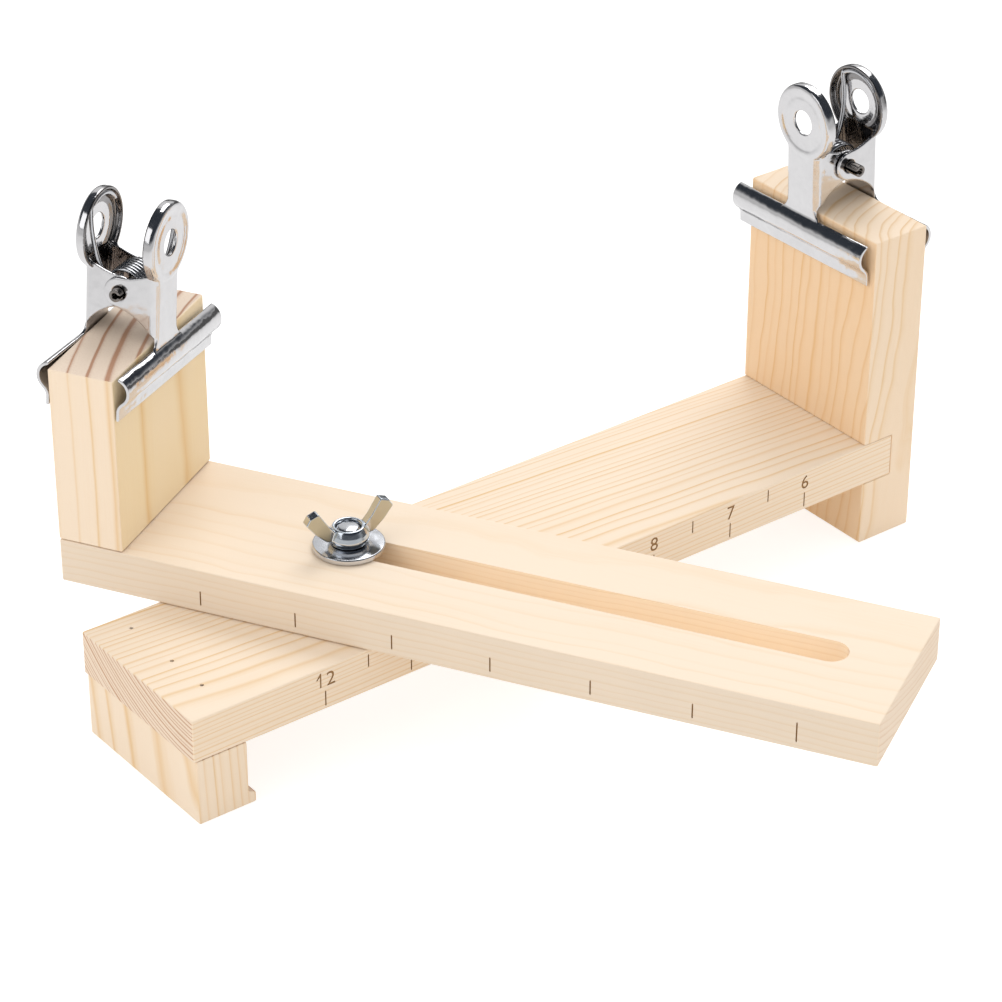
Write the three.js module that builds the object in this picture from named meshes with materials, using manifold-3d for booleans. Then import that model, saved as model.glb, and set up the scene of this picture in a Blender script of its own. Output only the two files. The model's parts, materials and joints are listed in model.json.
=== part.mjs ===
// An adjustable wooden jig for weaving cord bracelets. Two pine boards cross on one bolt. Each has an upright
// post at one end, and a steel spring clip grips the top of each post and holds an end of the work.
// Millimetres, +Z up. The base board lies along X with its post at +X, and its front edge faces -Y.
import * as THREE from "three";
import { mergeVertices } from "three/addons/utils/BufferGeometryUtils.js";
import Module from "manifold-3d";

const wasm = await Module();
wasm.setup();

// Timber that both boards share.
const boardWidth = 48.5;
const boardThickness = 11.8;
const postThickness = 17.4;
const glueLine = 0.15; // between timber parts that are glued face to face

// Base board: its top is at z = 0, and the bolt's axis is x = y = 0.
const baseLeft = 62.7; // bolt axis to the free end
const baseRight = 148.2; // bolt axis to the inner face of the post
const baseShift = -0.6; // the bolt hole was drilled this far off the board's middle
const housingDepth = 9.9; // how far the board's end is let into the post
const legHeight = 29.9; // floor to the top of the base board
const basePostRise = 59.6; // top of the base board to the top of the post

// Foot: a block under the free end with a small toe along its inner edge.
const footThickness = 14.2;
const footInset = 0.8;
const toeReach = 2.0;
const toeHeight = 3.6;
const toeSlope = 0.8;

// Arm: the upper board, turned about the bolt.
const armTurn = -59.64; // degrees from lying straight along the base
const armLeft = 67.3; // bolt axis to the end that carries the post
const armRight = 142.9; // bolt axis to the free end
const armShift = 0.6; // the boards' middles miss the bolt by this much
const armPostRise = 59.9; // top of the base board to the top of the arm's post
const armLift = 0.3; // running gap between the two boards
const armGlueLine = 0.3;

// Slot in the arm, with round ends.
const slotLeft = 9.4; // bolt axis to the end of the slot nearest the post
const slotRight = 127.6;
const slotPlay = 3.1; // slot width beyond the bolt's
const slotShift = 1.1; // slot's middle line from the bolt's axis

// Bolt, washer and wing nut.
const boltDiameter = 6;
const boltPlay = 0.6; // hole diameter beyond the bolt's
const boltHeadRadius = 6.8;
const boltHeadHeight = 3;
const boltChamfer = 0.8;
const boltEndDrop = 0.3; // the bolt's end lies just below the nut's top
const squareNeckDepth = 4;
const squareNeckShy = 0.05; // the neck's flats lie just inside the shank's surface
const hardwareGap = 0.2; // between arm and washer, and washer and nut
const washerRadius = 9;
const washerThickness = 1.5;
const nutWall = 1.85; // boss wall at the nut's foot
const nutTopWall = 0.75;
const nutHeight = 4.6;
const nutFootHeight = 2;
const nutTurn = -10.3; // degrees, where the tightened wings point
const wingThickness = 2.6;
const wingReach = 11.7; // axis to the wing's outer corner
const wingRise = 10.4; // nut's foot to the wing's highest corner
const wingTipRun = 3.5; // the wing's squared tip runs this far inwards
const wingTipDrop = 2.5; // and its outer corner is this much lower
const wingHeel = 1.2; // the wing's lower edge leaves the boss here
const wingHeelHeight = 1.9;
const wingRootTop = 3.4;
const wingRootBottom = 1.4;
const wingRootGap = 0.3; // between the wing's root and the thread
const nutChamfer = 0.5;

// Brads that hold the timber together.
const bradRadius = 0.7;
const bradGap = 0.15; // around a brad in its hole
const bradLength = 25;
const bradSink = 0.25; // depth of a brad's head below the surface
const footBradCover = 4.65; // timber left below the point of a foot brad
const footBradInset = 10.4; // board end to the row of brads over the foot
const footBradsY = [18.3, 0.3, -12.7]; // driven by hand, from the board's middle
const hiddenBradPitch = 16;

// Spring clip, in its own frame: x = 0 at the hinge plane, +X the working side,
// and z = 0 at the lips' lower edge.
const sheet = 0.8;
const jawLength = 49.7;
const lipGap = 0.35; // between a lip and the post
const lipHeight = 2.9;
const rollRadius = 3.9; // outside of the rolled stiffener above the lip
const rollHeight = 7.6; // its centre above the lips' lower edge
const rollInset = 0.45; // its centre behind the lip's inner face
const rollStart = -52; // degrees
const rollEnd = 72;
const neckOffset = 0.35; // the neck's inner face outside the lip's inner face
const neckHalf = 7; // hinge frame: middle to the outside of the outer ear
const bendRadius = 2.4;
const earGap = 0.3; // between the overlapping ears
const earRadius = 4;
const earRise = 3.4; // the ears' top edge rises this much towards their own neck
const earWaist = 0.45; // share of the way to the neck before it rises
const archClearance = 1.2; // from a post's top to where the ears' arch meets the neck
const archBelly = 0.65; // how far towards the neck the arch stays high
const archDrop = 1.4;
const pinHeight = 24.5;
const pinRadius = 1.55;
const pinBore = 0.8;
const pinGap = 0.2;
const pinShort = 2; // how far the pin stands out of the ears
const pinLong = 4;
const padRadius = 10.3;
const padRise = 13; // pin to the middle of the finger pad
const padHoleRadius = 3.2;
const padRim = 1.8; // how far the pad's rim turns inwards
const rimGapHalf = 6; // the rim is open above the neck
const rimGapHeight = 4.3;
const tongueShoulder = 1.6; // how much of each bend carries on up to the pad
const tongueHeight = 4; // the neck runs up behind the pad's lower edge
const wireRadius = 0.6;
const coilRadius = 4.65; // axis to the middle of the wire
const coilGap = 0.4; // between the coil's ends and the ears
const wireGap = 0.4; // between a spring leg and its pad

// A spring leg's way up from the coil: share of the way out to the pad, then millimetres sideways and up.
const legPath = [
  [0, 0, -1],
  [0.3, 0, 3],
  [0.75, 0.3, 8],
  [1, 0.8, 14],
];
const hookStart = 130; // degrees around the pad, where the leg meets the rim
const hookSweep = 92;

// Where each clip was put on its post: grip is the depth of the post between the lips.
const baseClip = { along: 1.8, grip: 12.8, roll: 1, lean: 1.5 };
const armClip = { along: 1.3, grip: 12.3, roll: -4.4, lean: 2 };

const degrees = THREE.MathUtils.degToRad;
const ALONG_X = new THREE.Matrix4().set(0, 0, 1, 0, 1, 0, 0, 0, 0, 1, 0, 0, 0, 0, 0, 1);
const ALONG_Y = new THREE.Matrix4().set(1, 0, 0, 0, 0, 0, -1, 0, 0, 1, 0, 0, 0, 0, 0, 1);

const pine = { color: 0xf0dcb9, roughness: 0.75, metalness: 0 };
const paleSteel = { color: 0xc8c9cc, roughness: 0.22, metalness: 1 };
const zinc = { color: 0xb9bec6, roughness: 0.35, metalness: 1 };
const wire = { color: 0x9da1a8, roughness: 0.3, metalness: 1 };

// A closed geometry as a solid that can be joined and cut.
function solid(geometry) {
  const bare = geometry.index ? geometry.toNonIndexed() : geometry.clone();
  bare.deleteAttribute("normal");
  bare.deleteAttribute("uv");
  const merged = mergeVertices(bare, 1e-4);
  return new wasm.Manifold(
    new wasm.Mesh({
      numProp: 3,
      vertProperties: merged.attributes.position.array,
      triVerts: new Uint32Array(merged.index.array),
    }),
  );
}

// A named mesh from a solid, with its own material.
function piece(name, body, look) {
  const { vertProperties, triVerts, numProp } = body.getMesh();
  const geometry = new THREE.BufferGeometry();
  const points = new THREE.InterleavedBuffer(vertProperties, numProp);
  geometry.setAttribute("position", new THREE.InterleavedBufferAttribute(points, 3, 0));
  geometry.setIndex(new THREE.BufferAttribute(triVerts, 1));
  const flat = geometry.toNonIndexed();
  flat.computeVertexNormals();
  const mesh = new THREE.Mesh(flat, new THREE.MeshStandardMaterial(look));
  mesh.name = name;
  return mesh;
}

// A block from its two opposite corners.
function block(low, high) {
  const size = high.map((value, i) => value - low[i]);
  const middle = high.map((value, i) => (value + low[i]) / 2);
  return solid(new THREE.BoxGeometry(...size).translate(...middle));
}

// A round bar along Z, from one height to another.
function bar(radius, bottom, top, sides = 24) {
  const cylinder = new THREE.CylinderGeometry(radius, radius, top - bottom, sides);
  return solid(cylinder.rotateX(Math.PI / 2).translate(0, 0, (top + bottom) / 2));
}

// A body of revolution about Z from [radius, height] points, listed upwards on the outside.
function turned(profile, sides = 32) {
  const points = profile.map(([radius, height]) => new THREE.Vector2(radius, height));
  return solid(new THREE.LatheGeometry(points, sides).rotateX(Math.PI / 2));
}

// An outline drawn in X and Z, made thick along Y about a middle.
function plateXZ(shape, thickness, middle = 0) {
  const slab = new THREE.ExtrudeGeometry(shape, { depth: thickness, bevelEnabled: false, curveSegments: 10 });
  return solid(slab.translate(0, 0, -thickness / 2).applyMatrix4(ALONG_Y).translate(0, middle, 0));
}

// An outline drawn in Y and Z, made thick along X from one place to another.
function plateYZ(shape, from, to) {
  const slab = new THREE.ExtrudeGeometry(shape, { depth: to - from, bevelEnabled: false, curveSegments: 12 });
  return solid(slab.applyMatrix4(ALONG_X).translate(from, 0, 0));
}

function outline(points) {
  return new THREE.Shape(points.map(([x, y]) => new THREE.Vector2(x, y)));
}

function brad(name, length, turnedBy, at) {
  const mesh = piece(name, bar(bradRadius, -length, 0, 12), wire);
  mesh.rotation.set(...turnedBy);
  mesh.position.set(...at);
  return mesh;
}

// ---- Base ----

const boltBore = boltDiameter + boltPlay;
const baseEnd = baseRight + housingDepth - glueLine;
const postOuter = baseRight + postThickness;
const footBradX = footBradInset - baseLeft;
const footBradLength = legHeight - bradSink - footBradCover;
const hiddenBrads = [-hiddenBradPitch, 0, hiddenBradPitch];

function bradHole(x, y, bottom, top) {
  return bar(bradRadius + bradGap, bottom, top, 12).translate([x, y, 0]);
}

function endBradHole(y) {
  const length = bradLength + 2 * bradSink;
  const hole = bar(bradRadius + bradGap, -length, 1, 12).rotate([0, 90, 0]);
  return hole.translate([postOuter, baseShift + y, -boardThickness / 2]);
}

function baseBoard() {
  const low = [-baseLeft, baseShift - boardWidth / 2, -boardThickness];
  const high = [baseEnd, baseShift + boardWidth / 2, 0];
  const neck = boltBore / 2;
  const recess = block([-neck, -neck, -boardThickness - 1], [neck, neck, squareNeckDepth - boardThickness]);
  let board = block(low, high).subtract(bar(boltBore / 2, low[2] - 1, 1)).subtract(recess);
  for (const y of footBradsY) board = board.subtract(bradHole(footBradX, baseShift + y, low[2] - 1, 1));
  for (const y of hiddenBrads) board = board.subtract(endBradHole(y));
  return piece("base_board", board, pine);
}

function basePost() {
  const half = boardWidth / 2;
  const whole = block([baseRight, baseShift - half, -legHeight], [postOuter, baseShift + half, basePostRise]);
  const inner = baseRight + housingDepth;
  const housing = block(
    [baseRight - 1, baseShift - half - 1, -boardThickness - glueLine],
    [inner, baseShift + half + 1, glueLine],
  );
  let post = whole.subtract(housing);
  for (const y of hiddenBrads) post = post.subtract(endBradHole(y));
  return piece("base_post", post, pine);
}

function baseFoot() {
  const left = footInset - baseLeft;
  const right = left + footThickness;
  const top = -boardThickness - glueLine;
  const toeTop = toeHeight - legHeight;
  const profile = outline([
    [left, -legHeight],
    [right + toeReach, -legHeight],
    [right + toeReach, toeTop - toeSlope],
    [right, toeTop],
    [right, top],
    [left, top],
  ]);
  let foot = plateXZ(profile, boardWidth, baseShift);
  const reach = -footBradLength - 2 * bradSink;
  for (const y of footBradsY) foot = foot.subtract(bradHole(footBradX, baseShift + y, reach, 1));
  return piece("base_foot", foot, pine);
}

function carriageBolt() {
  const radius = boltDiameter / 2;
  const under = -boardThickness - hardwareGap;
  const half = radius - squareNeckShy;
  const domeSteps = 6;
  const head = [[0, under - boltHeadHeight]];
  for (let i = 1; i <= domeSteps; i++) {
    const angle = (i / domeSteps) * (Math.PI / 2);
    head.push([boltHeadRadius * Math.sin(angle), under - boltHeadHeight * Math.cos(angle)]);
  }
  head.push([0, under]);
  const root = under - boltHeadHeight / 3;
  const end = nutBottom + nutHeight - boltEndDrop;
  const shank = turned([
    [0, root],
    [radius, root],
    [radius, end - boltChamfer],
    [radius - boltChamfer, end],
    [0, end],
  ], 24);
  const neck = block([-half, -half, root], [half, half, root + squareNeckDepth]);
  return piece("carriage_bolt", turned(head).add(shank).add(neck), zinc);
}

// ---- Arm ----

const armTop = armLift + boardThickness;
const armPostX = postThickness / 2 - armLeft;
const washerBottom = armTop + hardwareGap;
const nutBottom = washerBottom + washerThickness + hardwareGap;
const slotRadius = (boltDiameter + slotPlay) / 2;

function armBoard() {
  const half = boardWidth / 2;
  const low = [-armLeft, armShift - half, armLift];
  const high = [armRight, armShift + half, armTop];
  const leftEnd = slotRadius - slotLeft;
  const rightEnd = slotRight - slotRadius;
  const slot = block([leftEnd, slotShift - slotRadius, -1], [rightEnd, slotShift + slotRadius, armTop + 1])
    .add(bar(slotRadius, -1, armTop + 1, 32).translate([leftEnd, slotShift, 0]))
    .add(bar(slotRadius, -1, armTop + 1, 32).translate([rightEnd, slotShift, 0]));
  let board = block(low, high).subtract(slot);
  for (const y of hiddenBrads) board = board.subtract(bradHole(armPostX, armShift + y, -1, armTop + 1));
  return piece("arm_board", board, pine);
}

function armPost() {
  const half = boardWidth / 2;
  const bottom = armTop + armGlueLine;
  const high = [postThickness - armLeft, armShift + half, armPostRise];
  let post = block([-armLeft, armShift - half, bottom], high);
  const reach = armLift + bradLength + 2 * bradSink;
  for (const y of hiddenBrads) post = post.subtract(bradHole(armPostX, armShift + y, 0, reach));
  return piece("arm_post", post, pine);
}

function washer() {
  const top = washerBottom + washerThickness;
  const hole = bar(boltBore / 2, washerBottom - 1, top + 1);
  return piece("washer", bar(washerRadius, washerBottom, top, 48).subtract(hole), zinc);
}

function wingNut() {
  const bore = boltBore / 2;
  const foot = boltDiameter / 2 + nutWall + boltPlay / 2;
  const rim = bore + nutTopWall;
  const boss = turned([
    [0, 0],
    [foot - nutChamfer, 0],
    [foot, nutChamfer],
    [foot, nutFootHeight],
    [rim, nutHeight],
    [0, nutHeight],
  ]);
  const wing = outline([
    [bore + wingRootGap, wingRootTop],
    [wingReach - wingTipRun, wingRise],
    [wingReach, wingRise - wingTipDrop],
    [foot + wingHeel, wingHeelHeight],
    [bore + wingRootGap, wingRootBottom],
  ]);
  const right = plateXZ(wing, wingThickness);
  const nut = boss.add(right).add(right.rotate([0, 0, 180])).subtract(bar(bore, -1, nutHeight + 1));
  const mesh = piece("wing_nut", nut, zinc);
  mesh.rotation.z = degrees(nutTurn);
  mesh.position.z = nutBottom;
  return mesh;
}

// ---- Spring clip ----

const lipInner = postThickness / 2 + lipGap;
const neckInner = lipInner + neckOffset;
const neckOuter = neckInner + sheet;
const innerEar = neckHalf - sheet - earGap; // outside of the ear that lies inside the other jaw's
const earTop = pinHeight + earRadius;
const padHeight = pinHeight + padRise;
const padFoot = padHeight - padRadius;
const archFoot = Math.max(baseClip.grip, armClip.grip) + archClearance;
const neckFoot = rollHeight + rollRadius - sheet;

// The gripping bar: a flat lip, and above it the sheet rolled outwards.
function jawBar() {
  const centre = lipInner - rollInset;
  const start = degrees(rollStart);
  const end = degrees(rollEnd);
  const inside = rollRadius - sheet;
  const shape = new THREE.Shape();
  shape.moveTo(lipInner, 0);
  shape.lineTo(lipInner + sheet, 0);
  shape.lineTo(lipInner + sheet, lipHeight);
  shape.absarc(centre, rollHeight, rollRadius, start, end, false);
  shape.lineTo(centre + inside * Math.cos(end), rollHeight + inside * Math.sin(end));
  shape.absarc(centre, rollHeight, inside, end, start, true);
  shape.lineTo(lipInner, lipHeight + sheet);
  return plateXZ(shape, jawLength);
}

// The neck folded into a channel, seen from above: its two sides are the ears.
function neckChannel() {
  const corner = neckOuter - bendRadius;
  const fold = bendRadius - sheet;
  const shape = new THREE.Shape();
  shape.moveTo(-earRadius - 1, -neckHalf);
  shape.absarc(corner, bendRadius - neckHalf, bendRadius, -Math.PI / 2, 0, false);
  shape.absarc(corner, innerEar - bendRadius, bendRadius, 0, Math.PI / 2, false);
  shape.lineTo(-earRadius - 1, innerEar);
  shape.lineTo(-earRadius - 1, innerEar - sheet);
  shape.absarc(corner, innerEar - bendRadius, fold, Math.PI / 2, 0, true);
  shape.absarc(corner, bendRadius - neckHalf, fold, 0, -Math.PI / 2, true);
  shape.lineTo(-earRadius - 1, sheet - neckHalf);
  const slab = new THREE.ExtrudeGeometry(shape, {
    depth: earTop + earRise - neckFoot,
    bevelEnabled: false,
    curveSegments: 5,
  });
  return solid(slab.translate(0, 0, neckFoot));
}

// The side outline of the channel: round ears about the pin, arched away below over the post.
function earOutline() {
  const shape = new THREE.Shape();
  shape.moveTo(neckOuter + 1, earTop + earRise);
  shape.lineTo(neckOuter, earTop + earRise);
  shape.quadraticCurveTo(neckInner * earWaist, earTop, 0, earTop);
  shape.absarc(0, pinHeight, earRadius, Math.PI / 2, -Math.PI / 2, false);
  shape.quadraticCurveTo(neckInner * archBelly, pinHeight - earRadius - archDrop, neckInner, archFoot);
  shape.lineTo(neckInner, neckFoot - 1);
  shape.lineTo(neckOuter + 1, neckFoot - 1);
  return plateXZ(shape, 4 * neckHalf);
}

// The finger pad: a round plate with a hole and a rim turned inwards.
function fingerPad() {
  const low = neckInner - padRim;
  const rimInside = padRadius - sheet;
  const dish = turned([
    [padHoleRadius, neckInner],
    [rimInside, neckInner],
    [rimInside, low],
    [padRadius, low],
    [padRadius, neckOuter - sheet / 2],
    [padRadius - sheet / 2, neckOuter],
    [padHoleRadius, neckOuter],
    [padHoleRadius, neckInner],
  ], 40);
  const open = block([low - 1, -rimGapHalf, padFoot - 1], [neckInner, rimGapHalf, padFoot + rimGapHeight]);
  return dish.rotate([0, 90, 0]).translate([0, 0, padHeight]).subtract(open);
}

function jaw() {
  const right = innerEar - bendRadius + tongueShoulder;
  const left = bendRadius - neckHalf - tongueShoulder;
  const tongue = outline([
    [left, earTop - 1],
    [right, earTop - 1],
    [right, padFoot + tongueHeight],
    [left, padFoot + tongueHeight],
  ]);
  const pinHole = bar(pinRadius + pinGap, -2 * neckHalf, 2 * neckHalf).rotate([90, 0, 0]);
  return neckChannel()
    .intersect(earOutline())
    .subtract(pinHole.translate([0, 0, pinHeight]))
    .add(plateYZ(tongue, neckInner, neckOuter))
    .add(fingerPad())
    .add(jawBar());
}

function clipPin() {
  const ring = bar(pinRadius, -neckHalf - pinLong, neckHalf + pinShort).subtract(
    bar(pinBore, -neckHalf - pinLong - 1, neckHalf + pinShort + 1, 16),
  );
  return ring.rotate([90, 0, 0]).translate([0, 0, pinHeight]);
}

// One spring leg: up from the coil's flank, then round inside the pad's rim.
function springLeg() {
  const side = sheet + earGap + sheet + coilGap + wireRadius - neckHalf;
  const flatTo = neckInner - wireGap - wireRadius;
  const hook = padRadius - sheet - wireGap - wireRadius;
  const points = legPath.map(([share, across, up]) => {
    const out = THREE.MathUtils.lerp(coilRadius, flatTo, share);
    return new THREE.Vector3(-out, side - across, pinHeight + up);
  });
  const steps = 12;
  for (let i = 0; i <= steps; i++) {
    const angle = degrees(hookStart - (hookSweep * i) / steps);
    points.push(new THREE.Vector3(-flatTo, hook * Math.cos(angle), padHeight + hook * Math.sin(angle)));
  }
  const section = new THREE.Shape().absarc(0, 0, wireRadius, 0, 2 * Math.PI, false);
  const path = new THREE.CatmullRomCurve3(points);
  return solid(new THREE.ExtrudeGeometry(section, { steps: 30, curveSegments: 4, extrudePath: path }));
}

function clipSpring() {
  const length = 2 * (neckHalf - 2 * sheet - earGap - coilGap);
  const coil = bar(coilRadius + wireRadius, -length / 2, length / 2, 28).subtract(
    bar(coilRadius - wireRadius, -length, length, 28),
  );
  const leg = springLeg();
  return coil.rotate([90, 0, 0]).translate([0, 0, pinHeight]).add(leg).add(leg.rotate([0, 0, 180]));
}

function springClip(prefix) {
  const clip = new THREE.Group();
  const inner = jaw();
  clip.add(piece(prefix + "_inner_jaw", inner, paleSteel));
  clip.add(piece(prefix + "_outer_jaw", inner.rotate([0, 0, 180]), paleSteel));
  clip.add(piece(prefix + "_pin", clipPin(), wire));
  clip.add(piece(prefix + "_spring", clipSpring(), wire));
  return clip;
}

// A clip on its post, a few degrees askew: it rolls in the plane of the jaws and leans to the working side.
function placeClip(clip, x, postTop, spot, facing) {
  const tilt = new THREE.Group();
  clip.rotation.y = degrees(spot.lean);
  tilt.add(clip);
  tilt.rotation.x = degrees(spot.roll);
  const turnedClip = new THREE.Group();
  turnedClip.add(tilt);
  turnedClip.rotation.z = facing;
  turnedClip.position.set(x, spot.along, postTop - spot.grip);
  return turnedClip;
}

// ---- Assembly ----

const base = new THREE.Group();
base.add(baseBoard(), basePost(), baseFoot(), carriageBolt());
footBradsY.forEach((y, i) => {
  const at = [footBradX, baseShift + y, -bradSink];
  base.add(brad("foot_brad_" + (i + 1), footBradLength, [0, 0, 0], at));
});
hiddenBrads.forEach((y, i) => {
  const at = [postOuter - bradSink, baseShift + y, -boardThickness / 2];
  base.add(brad("post_brad_" + (i + 1), bradLength, [0, Math.PI / 2, 0], at));
});
base.add(washer(), wingNut());
const basePostX = baseRight + postThickness / 2;
base.add(placeClip(springClip("base_clip"), basePostX, basePostRise, baseClip, Math.PI));

const arm = new THREE.Group();
arm.add(armBoard(), armPost());
hiddenBrads.forEach((y, i) => {
  const at = [armPostX, armShift + y, armLift + bradSink];
  arm.add(brad("arm_brad_" + (i + 1), bradLength, [Math.PI, 0, 0], at));
});
arm.add(placeClip(springClip("arm_clip"), armPostX, armPostRise, armClip, 0));
arm.rotation.z = degrees(armTurn);

// The origin is the middle of the footprint, on the surface that the jig stands on.
const jig = new THREE.Group();
jig.add(base, arm);
jig.updateMatrixWorld(true);
const bounds = new THREE.Box3().setFromObject(jig, true);
const middle = bounds.getCenter(new THREE.Vector3());
jig.position.set(-middle.x, -middle.y, -bounds.min.z);

export default jig;
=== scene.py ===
# %% [markdown]
# # A bracelet jig of pine and plated steel
# Two pine boards cross on one bolt, each has an upright post, and a steel spring clip sits on each post.
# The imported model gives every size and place. This script dresses it: timber with its grain, burnt scale
# marks, pressed and plated clips, and the bolt with its washer and wing nut.

# %% Libraries and the frame
import json
import math

import bmesh
import bpy
from mathutils import Matrix, Vector


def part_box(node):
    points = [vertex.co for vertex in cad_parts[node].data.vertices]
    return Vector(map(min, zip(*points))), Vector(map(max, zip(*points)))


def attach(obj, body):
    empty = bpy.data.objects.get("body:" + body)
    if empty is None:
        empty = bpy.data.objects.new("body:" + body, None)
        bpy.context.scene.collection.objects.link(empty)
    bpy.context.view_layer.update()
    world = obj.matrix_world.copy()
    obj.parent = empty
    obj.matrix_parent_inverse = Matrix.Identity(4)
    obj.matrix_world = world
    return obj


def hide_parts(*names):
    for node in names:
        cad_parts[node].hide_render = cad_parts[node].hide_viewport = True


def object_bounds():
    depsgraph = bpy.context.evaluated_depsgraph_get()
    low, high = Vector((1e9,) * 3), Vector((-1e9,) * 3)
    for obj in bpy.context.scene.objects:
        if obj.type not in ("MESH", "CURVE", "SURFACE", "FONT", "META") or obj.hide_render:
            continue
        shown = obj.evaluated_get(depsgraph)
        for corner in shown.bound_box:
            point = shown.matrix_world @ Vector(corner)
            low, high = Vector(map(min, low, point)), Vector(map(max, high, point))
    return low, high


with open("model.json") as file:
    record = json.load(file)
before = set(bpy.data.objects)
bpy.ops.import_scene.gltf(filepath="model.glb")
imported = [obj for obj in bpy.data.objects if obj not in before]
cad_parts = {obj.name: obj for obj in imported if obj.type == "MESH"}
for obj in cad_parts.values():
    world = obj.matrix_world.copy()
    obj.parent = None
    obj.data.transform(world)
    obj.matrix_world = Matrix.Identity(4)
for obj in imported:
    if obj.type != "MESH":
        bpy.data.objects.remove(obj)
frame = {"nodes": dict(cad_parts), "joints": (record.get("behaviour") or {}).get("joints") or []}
cad_low, cad_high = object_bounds()
MM = 0.001
print("packed box", [round(v, 4) for v in (*cad_low, *cad_high)])

# %% [markdown]
# ## Where things are
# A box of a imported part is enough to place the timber. The arm lies askew, so its own axes come from the
# slide joint, which runs along it. Everything below is drawn in millimetres in a part's own frame, and one
# matrix then takes the finished mesh to its place, so that every object stays at the origin.

# %% The frames that the pieces are drawn in
joints = {joint["name"]: joint for joint in frame["joints"]}
bolt_at = Vector(joints["arm_swivel"]["pos_m"])


def axes_matrix(x, y, z, origin):
    """A matrix from millimetres in the given axes to the row frame in metres."""
    columns = Matrix((x, y, z)).transposed().to_4x4()
    return Matrix.Translation(origin) @ columns @ Matrix.Scale(MM, 4)


def middle_of(node):
    """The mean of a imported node's corners."""
    corners = frame["nodes"][node].data.vertices
    return sum((v.co for v in corners), Vector()) / len(corners)


UP = Vector((0, 0, 1))
base_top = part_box("base_board")[1].z
base_place = axes_matrix(Vector((1, 0, 0)), Vector((0, 1, 0)), UP, (bolt_at.x, bolt_at.y, base_top))
arm_x = Vector(joints["arm_slide"]["axis"]).normalized()
arm_place = axes_matrix(arm_x, UP.cross(arm_x), UP, (bolt_at.x, bolt_at.y, base_top))


def clip_place(prefix):
    """A clip's own frame: x to the working side, y along the pin, and the pin's middle at the origin."""
    squeeze = joints[prefix + "_squeeze"]
    y = -Vector(squeeze["axis"]).normalized()
    inner, outer = middle_of(prefix + "_inner_jaw"), middle_of(prefix + "_outer_jaw")
    across = inner - outer
    x = (across - across.dot(y) * y).normalized()
    pin = Vector(squeeze["pos_m"])
    centre = pin + y * ((inner + outer) / 2 - pin).dot(y)
    return axes_matrix(x, y, x.cross(y), centre)


clip_places = {prefix: clip_place(prefix) for prefix in ("base_clip", "arm_clip")}
print("frames ready; the arm points", [round(v, 4) for v in arm_x])

# %% [markdown]
# ## The camera
# A long lens from the front left, looking a little over thirty degrees down. The camera comes before the
# pieces, so that a first render is possible at once.

# %% Camera
LENS = 130.4
CAMERA_AT = Vector((-0.4819, -0.5921, 0.5105))
AZIMUTH, ELEVATION, ROLL = (math.radians(v) for v in (-37.34, 31.09, -0.06))

camera = bpy.data.objects.new("camera", bpy.data.cameras.new("camera"))
bpy.context.scene.collection.objects.link(camera)
camera.data.lens = LENS
camera.data.clip_start = 0.05
camera.data.clip_end = 20
camera.location = CAMERA_AT
camera.rotation_euler = (math.pi / 2 - ELEVATION, ROLL, AZIMUTH)
bpy.context.scene.camera = camera
bpy.context.scene.view_settings.view_transform = "Standard"
print("camera", round((camera.location - (cad_low + cad_high) / 2).length, 3), "m from the jig")

# %% [markdown]
# ## Small tools for shaders
# A material is a graph of nodes. It can be drawn by hand in the shader editor, but a graph made by a script
# can be read through and used again. The helpers below add a node with its plain values and do one step of
# arithmetic or mixing, which leaves only the lines that say what is special about a material.

# %% Nodes, arithmetic and mixing


def add(tree, kind, **values):
    """A new node; keyword values set its properties, or its input sockets where the name is a socket's."""
    node = tree.nodes.new(kind)
    for key, value in values.items():
        if hasattr(node, key):
            setattr(node, key, value)
        else:
            node.inputs[key.replace("_", " ")].default_value = value
    return node


def math_node(tree, operation, first, second=None, third=None):
    """One step of arithmetic; each value is a number or an output socket."""
    node = add(tree, "ShaderNodeMath", operation=operation)
    for socket, value in zip(node.inputs, (first, second, third)):
        if value is None:
            continue
        if isinstance(value, (int, float)):
            socket.default_value = value
        else:
            tree.links.new(value, socket)
    return node.outputs[0]


def mix_colour(tree, share, first, second, blend="MIX"):
    """A colour between two; each value is a colour, a number or an output socket."""
    node = add(tree, "ShaderNodeMix", data_type="RGBA", blend_type=blend)
    for socket, value in zip((node.inputs[0], node.inputs[6], node.inputs[7]), (share, first, second)):
        if isinstance(value, bpy.types.NodeSocket):
            tree.links.new(value, socket)
        elif isinstance(value, (int, float)):
            socket.default_value = value
        else:
            socket.default_value = (*value, 1)
    return node.outputs[2]


print("helpers for single nodes ready")

# %% [markdown]
# Grain, haze and scratches are uneven in a way that noise gives. A ramp then decides how much of the noise
# shows and how sharply it begins.

# %% Noise and ramps


def noise(tree, where, scale, detail=2.0, roughness=0.5):
    """Noise at a place, as a value about 0.5."""
    node = add(tree, "ShaderNodeTexNoise", Scale=scale, Detail=detail, Roughness=roughness)
    tree.links.new(where, node.inputs["Vector"])
    return node.outputs["Fac"]


def ramp(tree, value, stops):
    """A value bent through (position, height) stops."""
    node = tree.nodes.new("ShaderNodeValToRGB")
    tree.links.new(value, node.inputs[0])
    points = node.color_ramp.elements
    while len(points) < len(stops):
        points.new(0.5)
    for point, (position, height) in zip(points, stops):
        point.position = position
        point.color = (height, height, height, 1)
    return node.outputs[0]


print("helpers for patterns ready")

# %% [markdown]
# A pattern that several materials share is a group: a small graph with named sockets, built once and placed
# in each material. An image texture would have to be painted for each board and would stretch at its edges.
# A pattern that is worked out in space needs no image. It is measured in millimetres of the object, so that
# it stays with the piece when the piece moves.

# %% Groups and materials


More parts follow.
